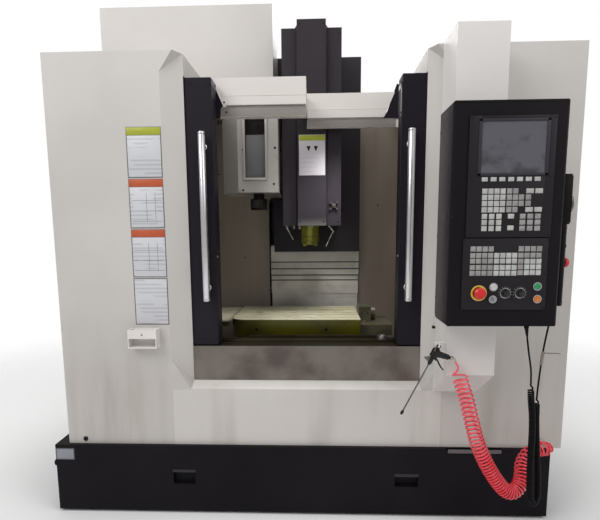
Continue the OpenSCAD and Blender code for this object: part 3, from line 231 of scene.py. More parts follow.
def tube_curve(name, line, diameter, finish, sides=3):
    """A round tube along a line, as a curve of one open spline."""
    made = bpy.data.curves.new(name, "CURVE")
    made.dimensions = "3D"
    made.bevel_depth = diameter / 2000
    made.bevel_resolution = sides
    made.use_fill_caps = True
    spline = made.splines.new("POLY")
    spline.points.add(len(line) - 1)
    for point, place in zip(spline.points, line):
        point.co = (*spot(*place), 1)
    made.materials.append(finish.material)
    return placed(name, made)


class Work:
    """Sheet, turned and bent parts in machine millimetres, joined into one piece."""

    def __init__(self):
        self.whole = bmesh.new()

    def add(self, part, finish):
        for face in part.faces:
            face.material_index = finish
        bmesh.ops.recalc_face_normals(part, faces=part.faces)
        sheet = bpy.data.meshes.new("part")
        part.to_mesh(sheet)
        part.free()
        self.whole.from_mesh(sheet)
        bpy.data.meshes.remove(sheet)

    def ringed(self, stations, finish, sides):
        """Joins rings, each given as its middle, two directions across it and a radius. Both ends
        are closed, unless the last ring is the first one again, round a hole."""
        part, rings = bmesh.new(), []
        holed = stations[0] == stations[-1]
        if holed:
            stations = stations[:-1]
        else:
            stations = [(*stations[0][:3], 0)] + stations + [(*stations[-1][:3], 0)]
        for middle, side, up, radius in stations:
            if radius > 0.01:
                rings.append([part.verts.new(middle + radius * (side * math.cos(a) + up * math.sin(a)))
                              for a in (2 * math.pi * k / sides for k in range(sides))])
            elif not rings or len(rings[-1]) > 1:
                rings.append([part.verts.new(middle)])
        if holed:
            rings.append(rings[0])
        for low, high in zip(rings, rings[1:]):
            for k in range(sides):
                n = (k + 1) % sides
                if len(low) == 1:
                    part.faces.new((low[0], high[k], high[n]))
                elif len(high) == 1:
                    part.faces.new((low[k], low[n], high[0]))
                else:
                    part.faces.new((low[k], low[n], high[n], high[k]))
        self.add(part, finish)

    def turned(self, start, along, profile, finish=0, sides=32):
        """A turned part: profile is a list of (radius, distance along the axis)."""
        start, along = Vector(start), Vector(along).normalized()
        side = along.orthogonal().normalized()
        stations = [(start + along * far, side, along.cross(side), radius) for radius, far in profile]
        self.ringed(stations, finish, sides)

    def sleeve(self, line, profile, finish=0, sides=20):
        """A sleeve on a bent line: profile is a list of (radius, distance along the line)."""
        stations = []
        for radius, far in profile:
            left = far
            for a, b in zip(line, line[1:]):
                if left <= (b - a).length:
                    break
                left -= (b - a).length
            along = (b - a).normalized()
            side = along.cross(Vector((0.05, 1, 0.02))).normalized()
            stations.append((a + along * left, side, along.cross(side), radius))
        self.ringed(stations, finish, sides)

    def piece(self, name, body, finishes, slot, crease=35):
        """Joins the parts as one piece that rides on a body of the frame."""
        for edge in self.whole.edges:
            if len(edge.link_faces) == 2:
                edge.smooth = edge.calc_face_angle(0) < math.radians(crease)
        for vert in self.whole.verts:
            vert.co = spot(*vert.co)
        for face in self.whole.faces:
            face.smooth = True
        sheet = bpy.data.meshes.new(name)
        self.whole.to_mesh(sheet)
        self.whole.free()
        for finish in finishes:
            sheet.materials.append(finish.material)
        made = placed(name, sheet)
        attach(made, body)
        return made


hose_red = Finish("red_polyurethane", (232, 44, 64), 0.26, grain=(500, 0.12), Subsurface_Weight=0.25,
                  Subsurface_Radius=(0.004, 0.001, 0.001), Coat_Weight=0.3)
# Random patches, and a paler pink towards the top of the loop.
patches_and_paler_top = hose_red.patches(0.35, 0.7, 9, 3) * 0.3 + hose_red.across(2).between(0.3, 0.85) * 0.8
hose_red.tone(patches_and_paler_top.tint((226, 36, 56), (250, 118, 130)))
brass = Finish("nickelled_brass", (190, 184, 170), (60, 3, 0.2, 0.2), 1.0, grain=(900, 0.05))

hose_line = eased([
    [559.6, -250, 820.5], [575, -250, 815.7], [588, -250, 784], [599, -250, 742], [615, -252, 694],
    [631, -254, 643], [644, -255, 592], [657, -256, 544], [670, -257, 496], [687, -258, 448],
    [708, -258, 401], [736, -258, 350], [767, -256, 304], [799, -250, 268], [832, -240, 254],
    [864, -224, 268], [887, -197, 302], [904, -160, 338], [938, -134, 367], [996, -112, 382],
    [1056, -66, 364], [1056, -0.3, 364]])
hose_coil = wound(hose_line, 27.5,
                  lambda t: 20 - 8 * math.sin(min(1, max(0, (t - 0.25) / 0.6)) * math.pi), (30, 40), 70)
hose_clamps = Work()
hose_clamps.sleeve(hose_line, [(7, 0.2), (7.6, 1), (7.6, 9), (6.2, 10), (6, 12), (5.2, 24), (4.5, 28)],
                   0, 24)
hose_clamps.sleeve(hose_line[::-1], [(8.5, 20.6), (9, 21.6), (9, 29), (6.4, 30), (5.2, 42), (4.5, 48)],
                   0, 24)
hose_clamps = hose_clamps.piece("hose_clamps", "frame", [brass], "chrome")
hose = tube_curve("air_hose_coil", hose_coil, 8, hose_red)
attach(hose, "frame")
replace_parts(hose, "air_hose")
spot(*hose_coil[0])
length_of(hose_coil) / 1000


# Hand unit's cord: a black screened cable, coiled between two straight ends. It leaves a gland
# under the operator panel, hangs down past the tank and comes back up to the hand unit.
cord_black = Finish("black_cable_jacket", (14, 12, 14), (70, 3, 0.25, 0.32), grain=(800, 0.15),
                    Specular_IOR_Level=0.12)
cord_line = eased([
    [814, -330, 964.4], [820, -331, 915], [828, -333, 860], [837, -337, 800], [838, -342, 750],
    [839, -348, 690], [846, -351, 623], [849, -352, 552], [849, -352, 480], [850, -352, 407],
    [853, -351, 337], [863, -346, 284], [880, -336, 262], [895, -325, 284], [896, -321, 340],
    [891, -319, 410], [885, -318, 480], [879, -318, 550], [875, -318, 625], [875, -319, 720],
    [888, -320, 885], [911.3, -321, 1032.3]])
cord_coil = wound(cord_line, 9.6, lambda t: 7.8, (218, 350), 30, 12)
cord_boots = Work()
for line in (cord_line, cord_line[::-1]):
    ribs = [(6.6 - k * 0.3 + 0.5 * (k % 2), 12 + k * 3) for k in range(8)]
    cord_boots.sleeve(line, [(8, 0), (8.5, 1), (8.5, 8), (7, 10)] + ribs + [(3.8, 37)])
cord_boots = cord_boots.piece("hand_cord_boots", "panel", [cord_black], "black_rubber", 60)
nylon = Finish("weathered_nylon", (146, 139, 129), 0.5, cloud=(60, 3, (108, 101, 92)))
cord_tie = Work()
upwards, downwards = (0, 0, 1), (0, 0, -1)
cord_tie.sleeve(cord_line[::-1], [(5, 172), (5.6, 174), (5, 182), (6, 190), (5.2, 200), (6.2, 212),
                                  (5, 222), (0, 223)])
cord_tie.turned((883.5, -326, 856), upwards, [(6.4, 0), (7, 3), (6.4, 9)], 0, 6)
cord_tie.sleeve(eased([(882, -326, 860), (900, -327, 864), (925, -326, 863), (950, -323, 855)]),
                [(2.6, 0), (2.2, 60), (1.4, 70)], 0, 4)
cord_tie.piece("cord_tie", "panel", [nylon], "black_rubber")
hand_cord = tube_curve("hand_unit_cord", cord_coil, 6.8, cord_black, 2)
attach(hand_cord, "panel")
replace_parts(hand_cord, "mpg_cord")
spot(*cord_coil[0])
length_of(cord_coil) / 1000


# Cover sheets of the enclosure: steel sheet, folded, spot-welded and powder-coated in a warm light
# grey with a fine orange peel. Painted shade darkens them towards the floor, where dust streaks settle.
def powder_coat(name, colour, shaded, grime=0.5):
    coat = Finish(name, colour, (30, 3, 0.22, 0.32), Coat_Roughness=0.3)
    cloud = coat.patches(0.3, 0.7, 1.6, 3)
    # low: darker towards the floor. Through shaded it paints shade; through grime it adds dust streaks.
    low = 1 - coat.across(2).between(0.3, 1.1)
    streak = coat.patches(0.42, 0.75, 9, 4, (1, 1, 0.12))
    specks = coat.patches(0.7, 0.78, 55, 3)
    shade = (cloud * 0.6 + low * 0.9).tint(colour, shaded)
    coat.tone((low * streak * grime + specks * 0.12).tint(shade, (134, 124, 108)))
    coat.relief(coat.mottle(380, 2) + coat.mottle(3, 1) * 2, 0.22, 0.0006)
    return coat


def dress(finish, *nodes):
    """Gives solids of the frame this finish in place of their plain colour."""
    for node in nodes:
        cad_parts[node].data.materials.clear()
        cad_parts[node].data.materials.append(finish.material)


def block(size=1):
    part = bmesh.new()
    bmesh.ops.create_cube(part, size=size)
    return part


def rounded(part, edge, edges=None):
    """Rounds off all edges of a part, or only the given ones."""
    bmesh.ops.bevel(part, geom=edges or part.edges[:], offset=edge, segments=2, profile=0.5,
                    affect="EDGES")


def plate(work, x, y, z, edge=0.6, finish=0):
    """A plate or block with rounded edges; x, y and z each hold its two ends."""
    part = block()
    for vert in part.verts:
        vert.co = (x[vert.co.x > 0], y[vert.co.y > 0], z[vert.co.z > 0])
    rounded(part, edge)
    work.add(part, finish)


def screw(work, place, out, across=9, finish=0):
    """A button-head screw with its hexagon socket, standing out of a face."""
    r = across / 2
    shape = ((1.15, 0), (1.15, 0.12), (1, 0.14), (0.97, 0.4), (0.75, 0.62), (0.5, 0.68), (0.46, 0.66),
             (0.44, 0.25), (0, 0.22))
    work.turned(place, out, [(r * wide, r * far) for wide, far in shape], finish, 18)


def screws(work, all_x, all_y, all_z, out, across=9, finish=0):
    """A screw at every crossing of the given places."""
    for x in all_x:
        for y in all_y:
            for z in all_z:
                screw(work, (x, y, z), out, across, finish)


sheet_coat = powder_coat("warm_grey_powder_coat", (206, 202, 198), (190, 185, 180))
dress(sheet_coat, "front_panel_left", "front_panel_right", "side_panel_left", "side_panel_right",
      "magazine_cover")
# The pillar with the shelf box, and the lower front sheet, get lighter copies of the sheets' coat, as
# painted light.
dress(powder_coat("pillar_lit_powder_coat", (232, 228, 225), (220, 215, 211), 0.1), "pillar", "shelf_box")
dress(powder_coat("lower_sheet_lit_powder_coat", (216, 212, 208), (202, 197, 192), 0.3), "front_panel_lower")
black_oxide = Finish("blackened_steel", (34, 33, 35), (80, 3, 0.3, 0.28), 0.75, grain=(600, 0.15))
sheet_fasteners = Work()
side_face = 1140
frontwards, backwards, rightwards = (0, -1, 0), (0, 1, 0), (1, 0, 0)
screw(sheet_fasteners, (-1060, 0, 358), frontwards, 20)
for side in (-1, 1):
    screws(sheet_fasteners, [side * side_face], (60, 620, 1180, 1660), (380, 1030, 1720, 2035),
           (side, 0, 0), 10)
sheet_fasteners.turned((569, -1, 887), frontwards, [(4.5, 0), (7.5, 0), (7.5, 3), (4.5, 3), (4.5, 0)],
                       1, 24)
sheet_fasteners.turned((544, -3, 897), (1, 0, -0.25), [(8, 0), (7, 6), (2.4, 20), (0, 21)], 0, 12)
screw(sheet_fasteners, (-747, -52, 868), frontwards, 6)
sheet_fasteners.piece("sheet_fasteners", "frame", [black_oxide, nylon], "steel_dark")

side_doors = Work()
for side in (-1, 1):
    near = sorted((side * side_face, side * (side_face + 6)))
    plate(side_doors, near, (180, 700), (470, 1120), 2)
    plate(side_doors, near, (760, 1180), (470, 1120), 2)
    for y in (230, 810):
        pull = sorted((side * (side_face + 6), side * (side_face + 12)))
        plate(side_doors, pull, (y, y + 26), (760, 860), 2, 1)
        side_doors.turned((side * (side_face + 11), y + 13, 835), (side, 0, 0),
                          [(9, 0), (9, 3), (7.5, 4), (7.5, 3)], 1, 24)
side_doors.piece("side_service_doors", "frame", [sheet_coat, black_oxide], "cover_white")


# Blank plates on the left front sheet, one above the other: printed film on thin aluminium, with
# a coloured band at the top of the first three and faint ruled rows below.
card_film = Finish("printed_film", (206, 206, 210), 0.38, grain=(40, 0.08))
rows = card_film.node("ShaderNodeMath", {"operation": "PINGPONG"}, {0: card_film.across(2), 1: 0.009}) * 110
printed = card_film.patches(0.44, 0.5, 9, 1, (1, 1, 2))
blank = card_film.mottle(3).tint((212, 212, 214), (196, 197, 204))
card_film.tone((rows.between(0.4, 0.75) * printed * 0.3).tint(blank, (128, 129, 138)))
band_green = Finish("yellow_green_band", (152, 158, 36), 0.4, cloud=(20, 3, (178, 184, 58)))
band_orange = Finish("orange_band", (170, 72, 40), 0.4, cloud=(20, 3, (200, 98, 58)))
card_edge = Finish("film_edge_grey", (80, 80, 84), 0.5, cloud=(30, 2, (104, 104, 108)))
cards = Work()
for top, foot, band in ((1770, 1556, 1), (1552, 1338, 2), (1334, 1121, 2), (1117, 906, 0)):
    plate(cards, (-790, -636), (-0.8, 0.2), (foot, top), 0.3, 3)
    plate(cards, (-786, -640), (-1.2, -0.6), (foot + 4, top - (36 if band else 4)), 0.2, 0)
    if band:
        plate(cards, (-788, -638), (-1.2, -0.6), (top - 34, top - 2), 0.2, band)
    if band == 2:
        for x in (-714, -675):
            plate(cards, (x, x + 1.5), (-1.5, -1.1), (foot + 30, top - 60), 0.2, 3)
        for k in range(3):
            z = foot + 30 + k * 45
            plate(cards, (-780, -646), (-1.5, -1.1), (z, z + 1.5), 0.2, 3)
cards.piece("front_cards", "frame", [card_film, band_green, band_orange, card_edge], "cover_white")


# Sill and apron below the door opening: stainless sheet, brushed along its length, with the
# smears of coolant and hands. The same sheet covers the column's way in four lapped stages.
def brushed(name, light, dark, rough, along=0, dirt=0.25):
    steel = Finish(name, light, rough, 1.0)
    stretch = [0.02 if k == along else 1 for k in range(3)]
    lines = steel.mottle(420, 3, stretch)
    smear = steel.patches(0.45, 0.8, 5, 4)
    steel.tone((smear * dirt + lines * 0.3).tint(light, dark))
    steel.give("Roughness", lines * 0.16 + smear * 0.12 + rough)
    steel.relief(lines, 0.1, 0.0003)
    return steel


apron_steel = brushed("brushed_apron_steel", (122, 114, 109), (84, 77, 73), 0.3)
inward = apron_steel.across(1).between(-0.79, -0.775)
worn = apron_steel.patches(0.4, 0.75, 5, 4)
outside, inside = worn.tint((136, 128, 121), (104, 95, 90)), worn.tint((86, 78, 62), (60, 54, 44))
apron_steel.tone(inward.tint(outside, inside))
dress(apron_steel, "apron")
way_steel = brushed("brushed_way_cover", (214, 208, 200), (150, 144, 136), 0.24, 0, 0.4)
height = way_steel.across(2)
# Dark lines where the stages lap over each other are painted shade.
lap_shade_lines = [height.between(low - 0.0015, low) * (1 - height.between(high, high + 0.0015))
         for low, high in ((1.118, 1.1235), (1.073, 1.079), (1.031, 1.037), (0.997, 1.003))]
wiped = way_steel.patches(0.45, 0.8, 5, 4).tint((244, 239, 232), (206, 200, 191))
way_steel.tone(sum(lap_shade_lines, 0 * height).tint(wiped, (58, 53, 50)))
way_steel.give("Metallic", 0.1)
dress(way_steel, "z_cover_1", "z_cover_2", "z_cover_3", "z_cover_4")
sill_parts = Work()
sill_top = 795
screws(sill_parts, (-520, -190, 140, 480), [62], [sill_top], upwards, 8)
plate(sill_parts, (-540, 500), (150, 166), (sill_top, sill_top + 8), 1.5, 1)
plate(sill_parts, (-540, 500), (196, 206), (sill_top, sill_top + 5), 1.5, 1)
sill_parts.piece("sill_runner", "frame", [black_oxide, apron_steel], "stainless")


# Sliding doors: folded sheet in a dark violet-grey paint, with a glazed panel in a rubber gasket
# that slides behind the front sheets. A rubber lip runs down each leading edge.
def dark_paint(name, colour, light, dust=0.25, gloss=0.12):
    paint = Finish(name, colour, (24, 3, 0.25, 0.3), grain=(450, 0.25, 2, 0.0005), Specular_IOR_Level=gloss)
    cloud = paint.mottle(2.2, 3)
    settled = paint.patches(0.66, 0.74, 140, 2) * dust
    wiped = paint.patches(0.5, 0.8, 7, 5, (1, 1, 0.4)) * dust * 0.5
    paint.tone((cloud * 0.4 + settled + wiped).tint(colour, light))
    return paint


door_paint = dark_paint("door_violet_grey", (28, 24, 31), (50, 46, 56), 0.2)
dress(door_paint, "door_left", "door_right")
rubber = Finish("black_rubber", (20, 20, 21), (60, 3, 0.25, 0.5), grain=(300, 0.2, 3))
pane = Finish("laminated_glass", (46, 50, 52), 0.04, Alpha=0.4, Coat_Weight=0.6, Coat_Roughness=0.03)
pane.give("Roughness", pane.patches(0.5, 0.9, 12, 4) * 0.15 + 0.03)
dress(pane, "door_left_window", "door_right_window")
bracket_steel = Finish("zinc_plated_bracket", (132, 132, 132), (50, 4, 0.3, 0.25), 0.8,
                       cloud=(18, 3, (168, 168, 166)))
light_zinc = Finish("light_zinc_bracket", (186, 186, 184), 0.4, 0.2, cloud=(18, 3, (208, 208, 206)))
# A lighter copy of the doors' paint, as painted light from above on the left door's strip.
violet_painted_light = Finish("violet_painted_light_paint", (84, 78, 90), 0.4, cloud=(14, 4, (104, 98, 110)),
                      grain=(450, 0.2))
bright_screw = Finish("bright_screw", (222, 222, 220), (90, 2, 0.3, 0.2), 0.5)


def border(work, x, y, z, edge, finish=0, lap=False):
    """Four bars round an opening. x and z hold the outer and inner edges of the bars, in order;
    the two level bars lie between the upright ones, or lap over them."""
    for ends in (x[:2], x[2:]):
        plate(work, sorted(ends), y, (z[0], z[3]), edge, finish)
    for ends in (z[:2], z[2:]):
        plate(work, sorted((x[0], x[3]) if lap else (x[1], x[2])), y, ends, edge, finish)


def door_fittings(name, body, lead, way, strips, bolt, coat):
    """The fittings of one door; way is -1 where the door lies to the left of its leading edge.
    The roller bracket shows in strips of coated sheet, each given by its y and z, with one bolt."""
    fit = Work()
    front, gasket = 60, (56.5, 60.5)

    def span(near, far):
        return sorted((lead - way * near, lead - way * far))

    plate(fit, span(0, 2.4), (64, 74), (802, 1812), 1)
    uprights = [lead + way * far for far in (150, 166, 504, 520)]
    border(fit, uprights, gasket, (1132, 1148, 1762, 1778), 1.6, 0, True)
    screws(fit, [lead + way * far for far in (12, 90, 300, 585)], [front], (830, 1960), frontwards, 8, 2)
    screw(fit, (lead + way * 36, front, 1727), frontwards, 9, 1)
    fit.turned((lead, 101, 1207), (-way, 0, 0), [(5, 0), (5, 0.7), (3.8, 1.7), (2, 2)], 1, 20)
    for y, z in strips:
        plate(fit, span(1.6, 2.6), y, z, 0.4, 3)
    y, z, across = bolt
    screw(fit, (lead - way * 2.6, y, z), (-way, 0, 0), across, 2)
    fit.piece(name, body, [rubber, bright_screw, black_oxide, coat], "black_rubber")


# The left door's strip is painted lighter, as painted light from above.
door_fittings("left_door_fittings", "door_l", -428, -1, [((63, 162), (1957, 1983))],
              (138, 1970, 10), violet_painted_light)
door_fittings("right_door_fittings", "door_r", 402, 1,
              [((76, 89), (1816, 1954)), ((76, 151), (1936, 1954))], (82, 1830, 8), light_zinc)

handle_steel = brushed("brushed_handle_tube", (224, 224, 226), (170, 170, 172), 0.2, 2, 0.1)
half = [(11, 0), (14.5, 1.2), (16, 4), (16, 12), (15.6, 12.6), (15.6, 13.6), (16, 14.2)]
tube = half + [(radius, 744 - far) for radius, far in reversed(half)]
for name, body, node, x in (("left_door_pull", "door_l", "door_left_handle", -467),
                            ("right_door_pull", "door_r", "door_right_handle", 439)):
    pull = Work()
    pull.turned((x, 24, 1008), upwards, tube, 0, 40)
    for z in (1068, 1692):
        pull.turned((x, 30, z), backwards,
                    [(8.5, 0), (8.5, 16), (9.5, 20), (13, 26), (15, 27), (15, 30)], 0, 28)
    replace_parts(pull.piece(name, body, [handle_steel], "stainless"), node)


# Rails over the doors: folded sheet in the enclosure's coat, its lower edge turned back to carry
# the door rollers. The left door's rail stands 280 mm in front of the right door's.
def cut_sheet(outline, depths):
    """Flat sheet cut to an outline of (x, z), between two depths in y."""
    part = bmesh.new()
    faces = [[part.verts.new((x, y, z)) for x, z in outline] for y in depths]
    for face in faces:
        part.faces.new(face)
    for k in range(len(outline)):
        part.faces.new((faces[0][k], faces[0][k - 1], faces[1][k - 1], faces[1][k]))
    return part


# The rails get a lighter copy of the sheets' coat, as painted light.
dress(powder_coat("rail_lit_powder_coat", (230, 224, 219), (212, 206, 201), 0.1), "top_rail_left",
      "top_rail_right")
# The strips under the rails are the rails' coat painted darker, as painted shade under the rail edge.
shaded_rail_strip = powder_coat("shaded_rail_strip_grey", (152, 146, 140), (132, 126, 120), 0)
rail_parts = Work()
plate(rail_parts, (-415, -16.5), (187, 188.4), (1849, 1891), 0.5)
plate(rail_parts, (-18.5, 436), (467, 468.4), (1851, 1891), 0.5)
screw(rail_parts, (-392, 175, 1909), frontwards, 8, 1)
screw(rail_parts, (-385, 187, 1868), frontwards, 8, 1)
# At each rail end a plate in the doors' paint: an end gusset, whose dark colour also stands for the shade
# behind the rail end.
for y, outline in ((184.6, [(-449, 2014), (-399, 1895), (-410, 1886), (-413, 1838), (-449, 1838)]),
                   (464.4, [(428, 2032), (381, 1895), (459, 1889), (459, 2050), (438, 2060)])):
    rail_parts.add(cut_sheet(outline, (y, y + 2)), 2)
rail_parts.piece("rail_parts", "frame", [shaded_rail_strip, black_oxide, door_paint], "cover_white")


# Tool change port: a sheet box that hangs inside the door opening, with a window into the
# changer, in the sheets' coat painted a darker grey as painted shade. Behind the glass a light guard sheet
# closes the lower part.
port_shaded_coat = powder_coat("port_shaded_grey_coat", (190, 186, 181), (172, 167, 161), 0)
dress(port_shaded_coat, "port_box")
smoked = Finish("smoked_port_glass", (18, 16, 14), 0.06, cloud=(20, 4, (44, 42, 38), 0.4, 0.7),
                Alpha=0.3, Coat_Weight=0.3, Coat_Roughness=0.04)
smoked.give("Roughness", smoked.patches(0.5, 0.9, 12, 4) * 0.15 + 0.05)
dress(smoked, "port_window")
guard_sheet = Finish("guard_sheet_grey", (168, 166, 166), 0.5, grain=(300, 0.1))
upper_part = guard_sheet.across(2).between(1.7, 1.8)
guard_sheet.tone(upper_part.tint((216, 214, 216), (236, 234, 236)))
port_parts = Work()
port_front = 480
for x, z in ((-360, 1540), (-196, 1571), (-188, 1756), (-357, 1748), (-372, 1940), (-190, 1940)):
    screw(port_parts, (x, port_front, z), frontwards, 10, 2)
plate(port_parts, (-344, -241), (port_front + 18, port_front + 20), (1604, 1826), 0.5, 3)
plate(port_parts, (-344, -241), (port_front + 20.4, port_front + 22), (1820, 1915), 0.5)
border(port_parts, (-357, -345, -240, -228), (port_front - 7.4, port_front + 0.4),
       (1590, 1602, 1917, 1929), 0.7, 1)
port_parts.piece("port_parts", "frame", [rubber, port_shaded_coat, black_oxide, guard_sheet], "cover_white")


# Inside of the cabin: the same sheet left in a darker coat, wetted by coolant and stained by
# chips. The chip pan, the bed and the column are grey iron in a machine-tool paint.
cabin_coat = Finish("cabin_coat", (128, 118, 108), 0.4)
runs = cabin_coat.patches(0.45, 0.75, 14, 5, (1, 1, 0.08))
# The walls right of x 153 mm get darker tones, as painted shade; the coolant runs are real stains.
right_wall_shade = cabin_coat.across(0).between(0.2, 0.3)
wall_light = right_wall_shade.tint((192, 180, 168), (164, 150, 136))
wall_dark = right_wall_shade.tint((162, 151, 138), (134, 121, 107))
cabin_coat.tone((runs * 0.25 + cabin_coat.mottle(4, 4) * 0.5).tint(wall_light, wall_dark))
cabin_coat.give("Roughness", 0.5 - runs * 0.25)
cabin_coat.relief(cabin_coat.mottle(300) + runs, 0.2)
dress(cabin_coat, "inner_walls")
iron_paint = dark_paint("iron_paint", (66, 64, 64), (96, 90, 82), 0.3, 0.25)
dress(iron_paint, "bed_casting", "column_casting", "saddle", "head_casting")
foot_steel = Finish("phosphated_steel", (50, 49, 48), (50, 3, 0.3, 0.35), 0.6, cloud=(12, 4, (84, 80, 74)))
dress(foot_steel, "level_feet")
cabin_parts = Work()
for x, z in ((-700, 700), (-460, 1150), (-620, 1700), (380, 640), (430, 1490), (620, 1760)):
    screw(cabin_parts, (x, 1134, z), frontwards, 9)
cabin_parts.turned((352, 205, 795.2), upwards,
                   [(24, 0), (24, 3), (21.6, 4), (21.6, 14), (20.4, 16.6), (15.6, 17), (15.6, 20),
                    (14, 21.6)], 1, 40)
cabin_parts.piece("cabin_parts", "frame", [black_oxide, bracket_steel], "stainless")


# Table: a grey iron casting, milled and scraped on top and stained by coolant; its front is
# painted and yellowed by rust-preventive oil. At its right sits the screw's bearing block.
def worn_iron(name, light, dark, oil, oily):
    iron = Finish(name, light, 0.4, 0.12)
    stain = iron.patches(0.42, 0.7, 7, 5)
    bare = iron.mottle(340, 2)
    milled = (stain * 0.7 + bare * 0.1).tint(light, dark)
    iron.worn = (iron.patches(0.4, 0.7, 3, 3) * oily).tint(milled, oil)
    iron.tone(iron.worn)
    iron.give("Roughness", bare * 0.1 + stain * 0.2 + 0.25)
    iron.relief(bare + stain * 0.3, 0.12, 0.0004)
    return iron


table_iron = worn_iron("milled_table_iron", (232, 226, 198), (182, 175, 142), (204, 196, 140), 0.5)
below = 1 - table_iron.across(2).between(0.8462, 0.847)
table_iron.tone(below.tint(table_iron.worn, table_iron.mottle(9, 4).tint((84, 80, 18), (58, 54, 18))))
dress(table_iron, "table")
oiled_paint = worn_iron("oiled_front_paint", (80, 77, 18), (52, 49, 14), (104, 100, 14), 0.8)
cover_iron = worn_iron("screw_cover_steel", (112, 108, 100), (64, 60, 54), (96, 92, 62), 0.3)
tray_side = 1 - cover_iron.across(0).between(-0.42, -0.38)
tray_top = cover_iron.across(2).between(0.834, 0.841)
right_cover = cover_iron.patches(0.4, 0.7, 8, 5).tint((96, 92, 72), (56, 52, 36))
clean_tray = tray_top.tint((50, 47, 20), (222, 216, 190))
stained_tray = tray_top.tint((40, 37, 18), (160, 152, 120))
left_tray = (cover_iron.patches(0.4, 0.7, 9, 5) * 0.5).tint(clean_tray, stained_tray)
cover_iron.tone(tray_side.tint(right_cover, left_tray))
dress(cover_iron, "x_covers")
table_parts = Work()
plate(table_parts, (-362, 264), (438.6, 440.4), (751, 847), 0.5)
screws(table_parts, (-296, 79), [438.6], [797], frontwards, 15, 1)
plate(table_parts, (-330, -290), (672, 688), (838, 852), 1.5, 2)
screws(table_parts, (284, 316), [590], [860], frontwards, 7, 1)
table_parts.turned((300, 588, 800), frontwards, [(20, 0), (20, 6), (17, 8)], 2, 30)
table_parts.piece("table_parts", "table", [oiled_paint, black_oxide, cover_iron], "cast")


# Spindle head: an iron casting behind a stepped sheet cover in the doors' paint. A blank card
# with a yellow-green band is fixed on its front, and a star knob stands on its right side.
head_paint = dark_paint("head_violet_grey", (38, 34, 38), (70, 63, 70), 0.2, 0.25)
# The bottom band of the cover's front is painted a lighter grey, as a painted sheen.
foot = 1 - (1 - head_paint.across(2).between(1.335, 1.4)) * (1 - head_paint.across(1).between(-0.34, -0.33))
wiped = head_paint.patches(0.5, 0.8, 7, 5, (1, 1, 0.4)) * 0.1
violet = (head_paint.mottle(2.2, 3) * 0.4 + wiped).tint((38, 34, 38), (70, 63, 70))
head_paint.tone(foot.tint((94, 92, 88), violet))
dress(head_paint, "head_cover", "head_back_cover")
plain_film = Finish("plain_white_film", (210, 205, 208), 0.4, cloud=(4, 3, (198, 192, 197)))
faint_line = Finish("faint_grey_print", (190, 185, 190), 0.4, cloud=(30, 2, (180, 175, 181)))
head_parts = Work()
head_front, step_front = 500, 540
plate(head_parts, (-63, 75), (head_front - 1.4, head_front + 0.2), (1615, 1823), 0.5)
plate(head_parts, (-61, 73), (head_front - 1.9, head_front - 1.1), (1617, 1792), 0.2)
plate(head_parts, (-61, 73), (head_front - 1.9, head_front - 1.1), (1793, 1821), 0.2, 1)
for x in (-12, 26):
    mark = block()
    for vert in mark.verts:
        up = vert.co.z + 0.5
        vert.co = (x + vert.co.x * (3 + 19 * up), head_front - 2.1 + vert.co.y * 0.4, 1741 + up * 24)
    head_parts.add(mark, 2)
for k in range(4):
    z = 1632 + k * 24
    plate(head_parts, (-52, 20 + 11 * (k % 2)), (head_front - 2.3, head_front - 1.8), (z, z + 3), 0.1, 3)
knob_x, knob_z = 122, 1456
head_parts.turned((knob_x, step_front - 12, knob_z), frontwards,
                  [(11.4, 0), (11.4, 2), (9.6, 5), (5, 6.4), (0, 6.6)], 4, 32)
for k in range(4):
    turn = math.pi / 4 + k * math.pi / 2
    out = Vector((math.cos(turn), 0, math.sin(turn)))
    head_parts.turned(Vector((knob_x, step_front - 10, knob_z)) + out * 8, out,
                      [(4, 0), (3.4, 12), (4, 18)], 4, 12)
    head_parts.turned(Vector((knob_x, step_front - 9.6, knob_z)) + out * 25, frontwards,
                      [(6.4, 0), (6.4, 2), (5, 4), (0, 4.6)], 4, 20)
screws(head_parts, (-58, 67), [head_front], (1374, 1870, 2370), frontwards, 7, 2)
screws(head_parts, (-138, 146), [step_front], (1374, 2040, 2340), frontwards, 7, 2)
head_parts.piece("head_parts", "head",
                 [plain_film, band_green, black_oxide, faint_line, foot_steel], "navy")

nose_steel = Finish("oiled_spindle_nose", (150, 150, 40), 0.3, 0.35)
film = nose_steel.patches(0.4, 0.65, 26, 5, (1, 1, 0.3))
nose_steel.tone(film.tint((158, 160, 58), (112, 110, 20)))
nose_steel.give("Roughness", film * 0.15 + 0.22)
nose_steel.relief(film, 0.15, 0.0004)
dress(nose_steel, "spindle_nose")
nose_parts = Work()
nose_x, nose_y = -10, 700
nose_parts.turned((nose_x, nose_y, 1263.2), upwards,
                  [(37, 0), (50.4, 0), (52.3, 2), (52.3, 26), (51.4, 27), (51.4, 29), (52.3, 30),
                   (52.3, 92), (46, 92), (46, 30), (37, 2), (37, 0)], 0, 72)
for k in range(6):
    turn = math.radians(15 + 60 * k)
    screw(nose_parts, (nose_x + 47 * math.cos(turn), nose_y + 47 * math.sin(turn), 1263.4), downwards, 7, 1)
screws(nose_parts, (-14, 6), [647], [1350], frontwards, 10, 1)
nose_parts.piece("spindle_housing_sleeve", "head", [nose_steel, bright_screw], "machined")


# Coolant jets: thin steel tubes in ball joints under the cover, the right one on an elbow, with
# two plugs of spare outlets between them.
jet_steel = Finish("bright_jet_tube", (214, 212, 204), (120, 3, 0.25, 0.15), 0.9,
                   (40, 4, (150, 146, 120), 0.4, 0.8))
jets = Work()
jet_row, elbow = 620, (0.643, 0, -0.766)


